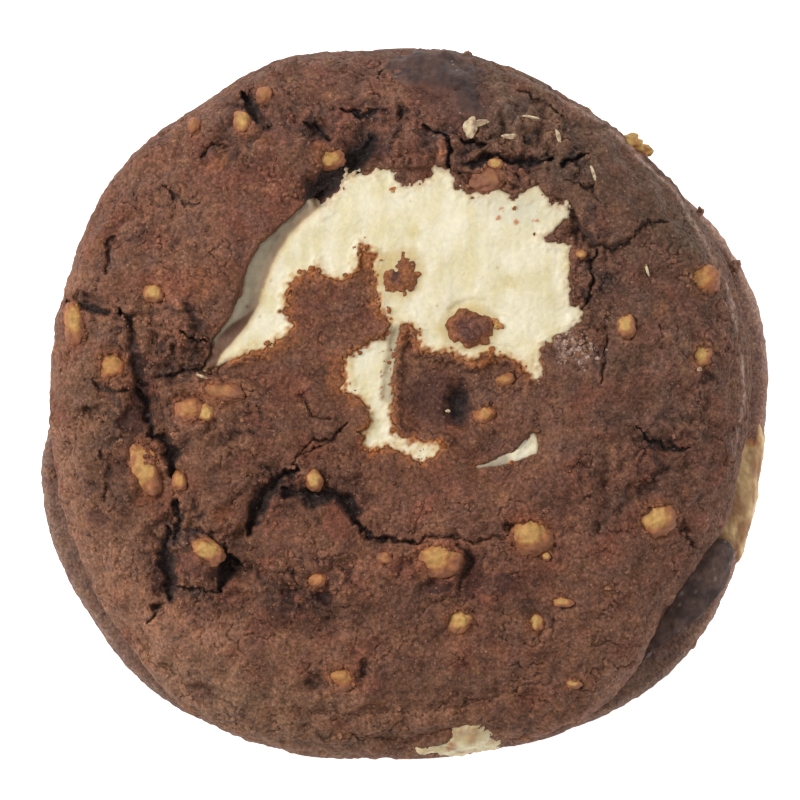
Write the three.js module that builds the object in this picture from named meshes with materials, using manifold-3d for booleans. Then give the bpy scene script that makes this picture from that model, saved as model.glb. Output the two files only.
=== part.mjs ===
// A thick baked chocolate cookie with a melted marshmallow filling.
//
// The dough is one solid: a thin foot that spread over the baking tray, with a domed body
// standing on it. The marshmallow melted into one pool under the crust. It shows through a
// broken window in the top, and it ran out to the side in two tongues. Two flakes of crust
// float on the pool, and two chunks of melted chocolate lie flush with the surface.
//
// Millimetres, +Z up, origin under the middle of the cookie on the surface it rests on.

import * as THREE from "three";
import { mergeVertices } from "three/addons/utils/BufferGeometryUtils.js";
import Module from "manifold-3d";

const wasm = await Module();
wasm.setup();

// ---- Driving dimensions ---------------------------------------------------------------

const FOOT_HEIGHT = 4.6;
const FOOT_EDGE = 1.1; // radius of the foot's rounded edges
const DOME_HEIGHT = 22.4; // nominal top of the dome, before its lumps
const DOME_FULLNESS = 3.0; // exponent of the dome's superellipse: 2 is a plain ellipse
const POOL_LEVEL = 19.4; // top of the marshmallow
const POOL_BOTTOM = 9.4;
const GAP = 0.3; // clearance between neighbouring pieces

const AROUND = 76; // steps round the cookie
const DOME_STEPS = 15; // steps from the foot to the top of the dome
const POOL_AROUND = 32; // steps round the pool of marshmallow
const CHUNK_AROUND = 18; // steps round a chunk or a tongue
const CHUNK_RINGS = 10;
const OUTLINE_DETAIL = 2; // straight pieces between two points of an opening's outline

// How far the two outlines stand from the middle: direction in degrees, radius.
const FOOT_OUTLINE = [
  [0, 45.5], [12, 46.0], [30, 44.6], [42, 42.6], [60, 42.6], [80, 43.4], [110, 44.4],
  [135, 44.6], [155, 43.5], [180, 42.9], [190, 45.2], [200, 46.3], [215, 46.7], [230, 47.1],
  [245, 45.5], [270, 43.4], [290, 44.4], [306, 46.6], [320, 47.3], [335, 46.2], [350, 45.2],
];
const DOME_OUTLINE = [
  [0, 42.8], [12, 43.2], [35, 43.2], [60, 43.1], [80, 44.0], [95, 43.8], [110, 45.0],
  [122, 44.5], [140, 45.2], [158, 44.0], [180, 43.2], [205, 43.8], [222, 44.9], [236, 46.2],
  [250, 45.4], [270, 43.9], [285, 44.3], [300, 45.3], [312, 43.8], [321, 41.8], [333, 41.8],
  [341, 42.9], [352, 42.3],
];

// Broad lumps and hollows in the top: place, height and half-width.
const LUMPS = [
  { x: -23, y: 18, rise: 1.0, spread: 6.5 }, // crust puffed up beside the window
  { x: -12.6, y: -17, rise: 1.4, spread: 4.2 }, // block between two cracks
  { x: -24.4, y: -20.2, rise: 1.1, spread: 2.8 },
  { x: 24, y: 5.5, rise: 1.0, spread: 4.5 },
  { x: 8.4, y: 1.6, rise: -1.2, spread: 6.0 }, // plate of crust that sank into the pool
  { x: 2.4, y: 33, rise: 1.0, spread: 4.5 },
  { x: -31, y: -3, rise: -0.9, spread: 3.5 },
  { x: 6.8, y: -14, rise: 0.6, spread: 8 },
  { x: 30, y: -14, rise: -0.5, spread: 7 },
];

// The window's two openings. Between them lie a tongue of crust, reaching in from the left,
// and the plate that sank into the pool.
const UPPER_OPENING = [
  [-23.8, 4.6], [-22.2, 9.4], [-19.6, 17.2], [-14.6, 22.4], [-8.0, 27.2], [-2.6, 29.0],
  [4.8, 28.8], [12.0, 26.4], [20.6, 24.6], [21.2, 17.8], [22.6, 10.8], [18.6, 7.4],
  [17.6, 3.0], [14.0, 5.6], [4.2, 6.4], [1.2, 10.2], [-2.4, 12.4], [-3.4, 17.8],
  [-6.4, 16.4], [-12.0, 15.4], [-14.4, 11.6], [-13.4, 8.6], [-18.4, 5.6],
];
const LOWER_OPENING = [
  [-1.6, 9.6], [-5.8, 6.8], [-7.2, 3.2], [-6.4, 0.4], [-4.2, -2.2], [-4.2, -5.0],
  [0.8, -6.8], [4.6, -5.8], [1.6, -4.6], [-1.8, -3.2], [-2.6, -0.6], [-1.0, 2.4],
  [-1.0, 6.0],
];

// The marshmallow: the pool under the crust, and the tongues that reach the side.
const POOL = { x: 0.4, y: 10.8, halfX: 25.4, halfY: 20.4 };
const TONGUES = [
  { angle: -14, from: 8, to: 52, halfWidth: 7.6, halfThickness: 2.6, drop: 7.6 },
  { angle: -79, from: 4, to: 50, halfWidth: 6.4, halfThickness: 3.6, drop: 0.6 },
];

// Flakes of crust that float on the pool.
const FLAKES = [
  { name: "crust_flake_upper", x: 0.2, y: 16.0, halfX: 2.2, halfY: 2.3, thickness: 1.2 },
  { name: "crust_flake_lower", x: 8.6, y: 9.4, halfX: 3.0, halfY: 2.3, thickness: 1.2 },
];

// Chunks of melted chocolate, flush with the surface: place, half-sizes, turn about Z.
const CHUNKS = [
  { name: "chocolate_side", at: [35.2, -25.8, 6.6], half: [11.2, 4.6, 3.6], turn: 58 },
  { name: "chocolate_top", at: [6.6, 39.4, 13.6], half: [6.4, 4.6, 4.2], turn: -14 },
];

// The widest cracks. Each is a tapered groove along its points.
const CRACK_WIDTH = 1.3;
const CRACK_DEPTH = 3.2;
const CRACKS = [
  [[-13.2, -7.4], [-15.6, -9.6], [-18.2, -13.4], [-18.6, -16.4]],
  [[-14.2, -10.6], [-9.6, -11.4], [-6.6, -12.0], [-4.8, -15.4], [-0.6, -17.0]],
  [[-34.2, 11.6], [-33.2, 6.6], [-33.0, 1.8], [-31.0, -4.0], [-28.6, -8.6]],
  [[-27.2, -13.2], [-28.2, -18.6], [-28.2, -23.0], [-23.6, -23.4]],
  [[-11.4, 25.2], [-9.8, 29.0], [-7.2, 30.8], [-3.4, 31.2]],
];

const COLOURS = { dough: 0x74503f, marshmallow: 0xe6dab8, crust: 0x6d4838, chocolate: 0x4a3833 };

// ---- Surfaces as functions ------------------------------------------------------------

const { degToRad, radToDeg, lerp, smoothstep } = THREE.MathUtils;

// A closed smooth curve through an outline's [direction, radius] pairs, as a function of
// the direction in degrees.
function outlineFunction(pairs) {
  const count = pairs.length;
  const at = (i) => {
    const [angle, radius] = pairs[((i % count) + count) % count];
    return { angle: angle + 360 * Math.floor(i / count), radius };
  };
  const slope = (i) => {
    const before = at(i - 1);
    const after = at(i + 1);
    return (after.radius - before.radius) / (after.angle - before.angle);
  };
  return (direction) => {
    const angle = ((direction % 360) + 360) % 360;
    let i = 0;
    while (at(i + 1).angle <= angle) i++;
    const width = at(i + 1).angle - at(i).angle;
    const t = (angle - at(i).angle) / width;
    const rise = t * t * (3 - 2 * t);
    return (
      lerp(at(i).radius, at(i + 1).radius, rise) +
      width * t * (1 - t) * ((1 - t) * slope(i) - t * slope(i + 1))
    );
  };
}

const footRadius = outlineFunction(FOOT_OUTLINE);
const domeRadius = outlineFunction(DOME_OUTLINE);

// How far out the side stands at a height: the foot's outline, then the dome's.
function sideRadius(angle, z) {
  const share = smoothstep(z, FOOT_HEIGHT - 0.7, FOOT_HEIGHT + 0.7);
  return lerp(footRadius(angle), domeRadius(angle), share);
}

function lumpHeight(x, y) {
  return LUMPS.reduce((height, lump) => {
    const away = Math.hypot(x - lump.x, y - lump.y) / lump.spread;
    return height + lump.rise * Math.exp(-away * away);
  }, 0);
}

// Height of the dome's top surface over a place.
function topHeight(x, y) {
  const share = Math.hypot(x, y) / domeRadius(radToDeg(Math.atan2(y, x)));
  const rise = (1 - Math.min(share, 1) ** DOME_FULLNESS) ** (1 / DOME_FULLNESS);
  return FOOT_HEIGHT + (DOME_HEIGHT - FOOT_HEIGHT) * rise + lumpHeight(x, y);
}

// ---- Solids ---------------------------------------------------------------------------

// A closed geometry as a solid that can be joined and cut.
function toSolid(geometry) {
  const bare = geometry.clone();
  bare.deleteAttribute("normal");
  bare.deleteAttribute("uv");
  const merged = mergeVertices(bare, 1e-4);
  return new wasm.Manifold(
    new wasm.Mesh({
      numProp: 3,
      vertProperties: merged.attributes.position.array,
      triVerts: new Uint32Array(merged.index.array),
    }),
  );
}

function toGeometry(solid) {
  const mesh = solid.getMesh();
  const geometry = new THREE.BufferGeometry();
  geometry.setAttribute("position", new THREE.BufferAttribute(mesh.vertProperties, 3));
  geometry.setIndex(new THREE.BufferAttribute(mesh.triVerts, 1));
  geometry.computeVertexNormals();
  return geometry;
}

// The biggest body of a cut solid: slivers that a cut leaves loose are dropped.
function biggestBody(solid) {
  return solid.decompose().reduce((a, b) => (a.volume() > b.volume() ? a : b));
}

// The cookie's profile: the reach is a share of the outline's radius, from the middle of
// the flat underside, round the foot and over the dome.
function cookieProfile() {
  const edge = FOOT_EDGE / FOOT_OUTLINE[0][1];
  const points = [
    new THREE.Vector2(0, 0),
    new THREE.Vector2(0.6, 0),
    new THREE.Vector2(1 - 2 * edge, 0),
    new THREE.Vector2(1 - 0.4 * edge, 0.5 * FOOT_EDGE),
    new THREE.Vector2(1, 1.6 * FOOT_EDGE),
    new THREE.Vector2(1, FOOT_HEIGHT - FOOT_EDGE),
    new THREE.Vector2(1 - 0.6 * edge, FOOT_HEIGHT - 0.3 * FOOT_EDGE),
  ];
  const shoulder = FOOT_HEIGHT + 0.8 * FOOT_EDGE;
  const power = 2 / DOME_FULLNESS;
  for (let i = 0; i <= DOME_STEPS; i++) {
    const t = (i / DOME_STEPS) * (Math.PI / 2);
    const reach = i === DOME_STEPS ? 0 : Math.cos(t) ** power;
    const height = shoulder + (DOME_HEIGHT - shoulder) * Math.sin(t) ** power;
    points.push(new THREE.Vector2(reach, height));
  }
  return points;
}

// The whole cookie's outer shape, without openings or cracks.
function outerShape() {
  const lathe = new THREE.LatheGeometry(cookieProfile(), AROUND).rotateX(Math.PI / 2);
  const position = lathe.attributes.position;
  for (let i = 0; i < position.count; i++) {
    const z = position.getZ(i);
    const direction = Math.atan2(position.getY(i), position.getX(i));
    const share = Math.hypot(position.getX(i), position.getY(i));
    const radius = share * sideRadius(radToDeg(direction), z);
    const x = radius * Math.cos(direction);
    const y = radius * Math.sin(direction);
    const onTop = smoothstep(z, FOOT_HEIGHT + 2, DOME_HEIGHT - 3);
    position.setXYZ(i, x, y, z + onTop * lumpHeight(x, y));
  }
  return toSolid(lathe);
}

// An upright prism over a closed smooth outline through the points.
function prism(points, bottom, top) {
  const knots = points.map(([x, y]) => new THREE.Vector3(x, y, 0));
  const curve = new THREE.CatmullRomCurve3(knots, true);
  const outline = curve.getPoints(points.length * OUTLINE_DETAIL).slice(0, -1);
  const shape = new THREE.Shape(outline.map((p) => new THREE.Vector2(p.x, p.y)));
  const geometry = new THREE.ExtrudeGeometry(shape, { depth: top - bottom, bevelEnabled: false });
  return toSolid(geometry.translate(0, 0, bottom));
}

// The pool of marshmallow: a lens with a nearly level top.
function poolLens(grow) {
  const steps = 8;
  const halfHeight = (POOL_LEVEL - POOL_BOTTOM) / 2 + grow;
  const points = [];
  for (let i = -steps; i <= steps; i++) {
    const t = (i / steps) * (Math.PI / 2);
    const reach = Math.abs(i) === steps ? 0 : Math.cos(t) ** 0.83;
    const height = Math.sign(i) * Math.abs(Math.sin(t)) ** 0.6;
    points.push(new THREE.Vector2(reach, height * halfHeight));
  }
  const lens = new THREE.LatheGeometry(points, POOL_AROUND).rotateX(Math.PI / 2);
  lens.scale(POOL.halfX + grow, POOL.halfY + grow, 1);
  lens.translate(POOL.x, POOL.y, (POOL_LEVEL + POOL_BOTTOM) / 2);
  return toSolid(lens);
}

// A flattened finger from inside the pool, falling outwards through the side.
function tongue({ angle, from, to, halfWidth, halfThickness, drop }, grow) {
  const finger = new THREE.SphereGeometry(1, CHUNK_AROUND, CHUNK_RINGS);
  finger.scale((to - from) / 2 + grow, halfWidth + grow, halfThickness + grow);
  finger.rotateY(Math.atan2(drop, to - from));
  finger.translate((from + to) / 2, 0, POOL_BOTTOM + 1.2 - drop / 2);
  finger.rotateZ(degToRad(angle));
  return toSolid(finger);
}

function marshmallowShape(grow) {
  return TONGUES.reduce((solid, t) => solid.add(tongue(t, grow)), poolLens(grow));
}

function chunkShape({ at, half, turn }, grow) {
  const chunk = new THREE.SphereGeometry(1, CHUNK_AROUND, CHUNK_RINGS);
  chunk.scale(half[0] + grow, half[1] + grow, half[2] + grow);
  chunk.rotateZ(degToRad(turn));
  chunk.translate(...at);
  return toSolid(chunk);
}

// A thin flake with a ragged round outline, lying just above the pool.
function flakeShape({ x, y, halfX, halfY, thickness }) {
  const corners = 14;
  const points = [];
  for (let i = 0; i < corners; i++) {
    const t = (i / corners) * 2 * Math.PI;
    const ragged = 1 + 0.1 * Math.sin(5 * t + x) + 0.07 * Math.cos(3 * t);
    points.push([x + halfX * ragged * Math.cos(t), y + halfY * ragged * Math.sin(t)]);
  }
  return prism(points, POOL_LEVEL + GAP, POOL_LEVEL + GAP + thickness);
}

// A groove along the points: widest in the middle, closing to almost nothing at its ends.
function crackCutter(points) {
  const steps = 10;
  const curve = new THREE.SplineCurve(points.map(([x, y]) => new THREE.Vector2(x, y)));
  const left = [];
  const right = [];
  for (let i = 0; i <= steps; i++) {
    const at = curve.getPoint(i / steps);
    const along = curve.getTangent(i / steps);
    const half = Math.max(0.1, (CRACK_WIDTH / 2) * Math.sin((Math.PI * i) / steps));
    left.push(new THREE.Vector2(at.x - along.y * half, at.y + along.x * half));
    right.push(new THREE.Vector2(at.x + along.y * half, at.y - along.x * half));
  }
  const shape = new THREE.Shape([...right, ...left.reverse()]);
  const middle = curve.getPoint(0.5);
  const groove = new THREE.ExtrudeGeometry(shape, { depth: DOME_HEIGHT, bevelEnabled: false });
  return toSolid(groove.translate(0, 0, topHeight(middle.x, middle.y) - CRACK_DEPTH));
}

// ---- The cookie -----------------------------------------------------------------------

function cutDough(outer) {
  const above = 2 * DOME_HEIGHT;
  let dough = outer
    .subtract(marshmallowShape(GAP))
    .subtract(prism(UPPER_OPENING, POOL_LEVEL - 2, above))
    .subtract(prism(LOWER_OPENING, POOL_LEVEL - 2, above));
  CHUNKS.forEach((chunk) => {
    dough = dough.subtract(chunkShape(chunk, GAP));
  });
  CRACKS.forEach((points) => {
    dough = dough.subtract(crackCutter(points));
  });
  return biggestBody(dough);
}

function cutMarshmallow(outer) {
  let marshmallow = marshmallowShape(0).intersect(outer);
  CHUNKS.forEach((chunk) => {
    marshmallow = marshmallow.subtract(chunkShape(chunk, GAP));
  });
  return biggestBody(marshmallow);
}

function namedMesh(name, solid, colour, roughness) {
  const material = new THREE.MeshStandardMaterial({ color: colour, roughness, metalness: 0 });
  const mesh = new THREE.Mesh(toGeometry(solid), material);
  mesh.name = name;
  return mesh;
}

function buildCookie() {
  const outer = outerShape();
  const cookie = new THREE.Group();
  cookie.add(namedMesh("dough", cutDough(outer), COLOURS.dough, 0.9));
  cookie.add(namedMesh("marshmallow", cutMarshmallow(outer), COLOURS.marshmallow, 0.55));
  FLAKES.forEach((flake) => {
    cookie.add(namedMesh(flake.name, flakeShape(flake), COLOURS.crust, 0.9));
  });
  CHUNKS.forEach((chunk) => {
    const solid = biggestBody(chunkShape(chunk, 0).intersect(outer));
    cookie.add(namedMesh(chunk.name, solid, COLOURS.chocolate, 0.4));
  });
  return cookie;
}

// Sets the origin under the middle of the cookie's bounding box.
function centred(cookie) {
  const box = new THREE.Box3().setFromObject(cookie);
  const middle = box.getCenter(new THREE.Vector3());
  cookie.position.set(-middle.x, -middle.y, -box.min.z);
  return cookie;
}

export default centred(buildCookie());
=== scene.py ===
"""A thick baked chocolate cookie over a pool of melted marshmallow, seen from straight above.

The shape functions work in millimetres round the middle of the outlines, and to_mesh moves the
points to the CAD solids' frame. Each piece is a mesh worked out from named sizes and seeded
noise, and rides on the part's one body. A place in the tables is its x and y.
"""

import math
from itertools import combinations, product

import bpy
import numpy as np
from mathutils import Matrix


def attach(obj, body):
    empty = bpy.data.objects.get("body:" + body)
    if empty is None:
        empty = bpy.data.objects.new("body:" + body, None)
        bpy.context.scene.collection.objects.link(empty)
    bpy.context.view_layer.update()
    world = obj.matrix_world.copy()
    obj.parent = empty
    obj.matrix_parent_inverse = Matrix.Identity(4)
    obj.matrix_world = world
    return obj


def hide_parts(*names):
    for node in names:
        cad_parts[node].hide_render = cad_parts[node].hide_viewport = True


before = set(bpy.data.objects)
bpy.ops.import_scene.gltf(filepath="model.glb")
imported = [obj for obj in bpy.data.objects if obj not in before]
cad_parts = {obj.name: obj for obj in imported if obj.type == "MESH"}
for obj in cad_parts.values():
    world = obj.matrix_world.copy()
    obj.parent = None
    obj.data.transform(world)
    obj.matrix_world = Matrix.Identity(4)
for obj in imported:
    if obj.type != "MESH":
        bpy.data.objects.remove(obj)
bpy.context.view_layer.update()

MM = 0.001

# ---- Driving dimensions, in millimetres and degrees --------------------------------------

FOOT_HEIGHT = 4.8
FOOT_EDGE = 0.024  # depth of the foot's rounded edge, as a share of its radius
DOME_BOTTOM = FOOT_HEIGHT - 1.5  # hidden in the foot
DOME_WAIST = 7.6  # height at which the dome is widest
DOME_TOP = 21.9
HIGHEST = 23.1  # no lump rises above this
CEILING_SOFTNESS = 0.6  # over which the highest lumps are flattened
SHELF_TOPS = (10.2, 8.2)  # of the slumped layers at the right side
DOME_FULLNESS = 2.8  # exponent of the dome's superellipse
TUCK = 0.93  # the dome's reach where it meets the foot, as a share of its radius

FOOT_OUTLINE = [
    (0, 45.5), (12, 46), (30, 44.6), (42, 42.6), (60, 42.6), (80, 43.4), (110, 44.4), (135, 44.6),
    (155, 43.5), (180, 42.9), (190, 45.2), (200, 46.3), (215, 46.7), (230, 47.1), (245, 45.5),
    (270, 43.4), (290, 44.4), (306, 46.6), (320, 47.3), (335, 46.2), (350, 45.2),
]
DOME_OUTLINE = [
    (0, 42.8), (12, 43.2), (35, 43.2), (60, 43.1), (80, 44), (95, 43.8), (110, 45), (122, 44.5),
    (140, 45.2), (158, 44), (180, 43.2), (205, 43.8), (222, 44.9), (236, 46.2), (250, 45.4),
    (270, 43.9), (285, 44.3), (300, 45.3), (312, 43.8), (321, 41.8), (333, 41.8), (341, 42.9),
    (352, 42.3),
]

# Where the crust is broken and the marshmallow shows. Noise makes its edge ragged.
WINDOW = [
    (-24, 4.2), (-22.7, 8.4), (-21, 10.7), (-19.5, 13.5), (-18.9, 17), (-17.4, 19.3),
    (-15.1, 21.6), (-11.4, 24.8), (-9.8, 23.8), (-7.8, 25.6), (-6.5, 28.1), (-4.5, 28.2),
    (-1.5, 28.9), (-0.7, 28.2), (0.2, 26.4), (3.9, 27.6), (4.4, 29.1), (5.8, 28.6), (7.1, 26.6),
    (8.4, 25.8), (10.4, 25.6), (11.7, 26.6), (14, 25.1), (17, 26.9), (18.7, 24.3), (20.6, 24.1),
    (20.3, 22.6), (17.3, 20.3), (20.3, 19.6), (21, 18.6), (20.6, 17), (20.8, 12.7), (22.6, 10.8),
    (20.4, 8.9), (18.7, 8.1), (17.3, 6.7), (17.4, 3.2), (16.3, 3.1), (15, 4.8), (13.4, 5.6),
    (11, 6.1), (8.7, 5.1), (6.4, 6.1), (2.4, 6.7), (2.1, 8.7), (1.1, 9.9), (0.1, 9.7),
    (-0.8, 6.4), (-1.1, -1), (-0.9, -3.8), (2.5, -4.8), (5.3, -4.8), (4.1, -6.8), (2.5, -7.3),
    (0, -5.8), (-1.5, -5.2), (-3.2, -6), (-4.5, -5.5), (-4.8, -3.5), (-3.8, -1.9), (-4.8, 0.3),
    (-7.3, 1.4), (-6.5, 3.1), (-7, 5.1), (-5.8, 6.7), (-1.9, 8.3), (-1.4, 9.7), (-2.8, 12.4),
    (-3.2, 18.3), (-4.8, 19.6), (-5.6, 15.9), (-7.1, 15.2), (-9.5, 15.7), (-10.3, 16.7),
    (-12, 15.6), (-13.4, 14.7), (-14.4, 11), (-12.9, 9.4), (-16.1, 6.9), (-21, 5.4),
]
# A small second gap below it.
WEDGE = [
    (9.4, -7.9), (12, -6.9), (14.2, -6), (15.4, -4.6), (16.4, -3.8), (16.8, -5), (16.6, -6.1),
    (14.2, -6.9), (11.6, -7.5),
]
WEDGE_MIDDLE = (13.2, -5.6)
# The plate of crust that sank into the pool.
PLATE = [
    (0.1, 9.7), (1.1, 9.9), (2.1, 8.7), (2.4, 6.7), (4.4, 6.4), (6.4, 6.1), (8.7, 5.1), (11, 6.1),
    (13.4, 5.6), (15, 4.8), (16.3, 3.1), (17.5, 1), (17, -2), (15.5, -3.5), (14, -5), (9.2, -7),
    (5.3, -4.8), (4.4, -4.2), (2.5, -4.8), (0.5, -4.3), (-0.9, -3.8), (-1.3, -2.3), (-1, 3.4),
    (-0.8, 6.4),
]
# The whole sunken basin: the window with the crust that lies low beside it.
BASIN = [
    (-24.5, 3.5), (-21, 10.7), (-19.4, 15.3), (-17.4, 19.3), (-11.4, 24.8), (-6.5, 28.4),
    (5, 29.4), (13, 27), (20.5, 25), (23, 18), (23.5, 8), (20, -3), (12, -9), (0, -10), (-9, -6),
    (-14, 0), (-19, 3),
]
# Where the lit top of the marshmallow ends and drops into the lip's shade, which is also painted.
POOL_RIDGE = [
    (-22, 6), (-20.7, 7.4), (-18.7, 9.8), (-17.4, 12.2), (-16.6, 14.4), (-16, 16.6),
    (-14.9, 18.7), (-13.5, 20.8), (-11.9, 22.5), (-10, 24),
]
POOL_LEVEL = 19.2
POOL_BOTTOM = 12.0
PLATE_DROP = 1.3
BASIN_DROP = 2.0

# Wrinkles in the marshmallow's skin.
GROOVES = [
    [(2.4, 8.7), (5.1, 7.4), (7, 6.6), (10, 7.2), (13, 6.8), (17, 4.4)],
    [(-0.9, 8.7), (-1.2, 6), (-1.6, 3.4), (-1.8, 0.9)],
    [(6.2, 11.6), (8, 12.6), (10.4, 12.4), (12, 10.6)],
]
PULLED = (1, 0.35, 1)  # scales places, so that noise over them is pulled out along y

# Lumps and hollows: place, rise, half-width.
LUMPS = [
    (-23, 18, 0.8, 7), (-12.4, -16, 1.5, 4.6), (-25, -19.4, 1.9, 2.4), (24, 5.5, 0.8, 4.5),
    (2.4, 33, 0.9, 4.5), (-31.5, -2.5, -1.2, 2.6), (6.8, -12.5, 0.6, 6), (-25, -2, 1.2, 3.6),
    (-8.5, 31.5, -0.9, 3), (15, 31, -0.8, 4), (27, 24, 0.8, 4.5), (-33, -9.5, 0.9, 2.6),
    (12, -27, 0.6, 6), (24, -8, -0.7, 2.2), (29.5, -9.5, -0.7, 2.2), (-36, 7.6, 1, 2.6),
    (-25.6, 9, 0.8, 3.4), (-32.6, 17, 0.6, 3.6), (-20.5, 30, 0.7, 3.6), (-13.6, 31.2, 0.9, 2.2),
    (-2.4, 32.4, 0.9, 2.2), (-23.4, -12.4, 0.7, 2.4), (-16.4, -5.4, 0.8, 4),
    (-20.6, -16.6, -0.7, 1.8), (9, -21.5, -1.3, 2.6), (-7.6, -22, -0.6, 2.4),
    (-33.6, -17.6, 0.6, 3.4), (17.4, -5.6, 0.6, 3.4), (-34.4, 12.8, -0.6, 1.6),
    (-6.6, -6.4, 0.7, 2.8), (38.5, 7.6, 0.6, 2.2), (-16, -27, 0.6, 5), (-38.2, -3.4, -0.6, 1.8),
    (-31.2, 1.8, -1, 1.8), (-29, -22, -1, 2.4), (-13, -22.6, -0.8, 1.8), (-9.6, -23.2, -0.8, 1.6),
    (-11.4, -20.4, 0.8, 1.6), (-16, -21.6, 0.7, 2.2), (-24, -27, -0.7, 3.6), (6, 40.2, -0.8, 4),
    (-6, 29, -1.2, 2.2), (-10.6, 26.6, -1.6, 1.6), (-19.6, -3.6, 0.7, 2.2),
    (-31.6, -7.6, 0.9, 2.2), (22.6, 14.2, 0.7, 2.4),
]

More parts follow.
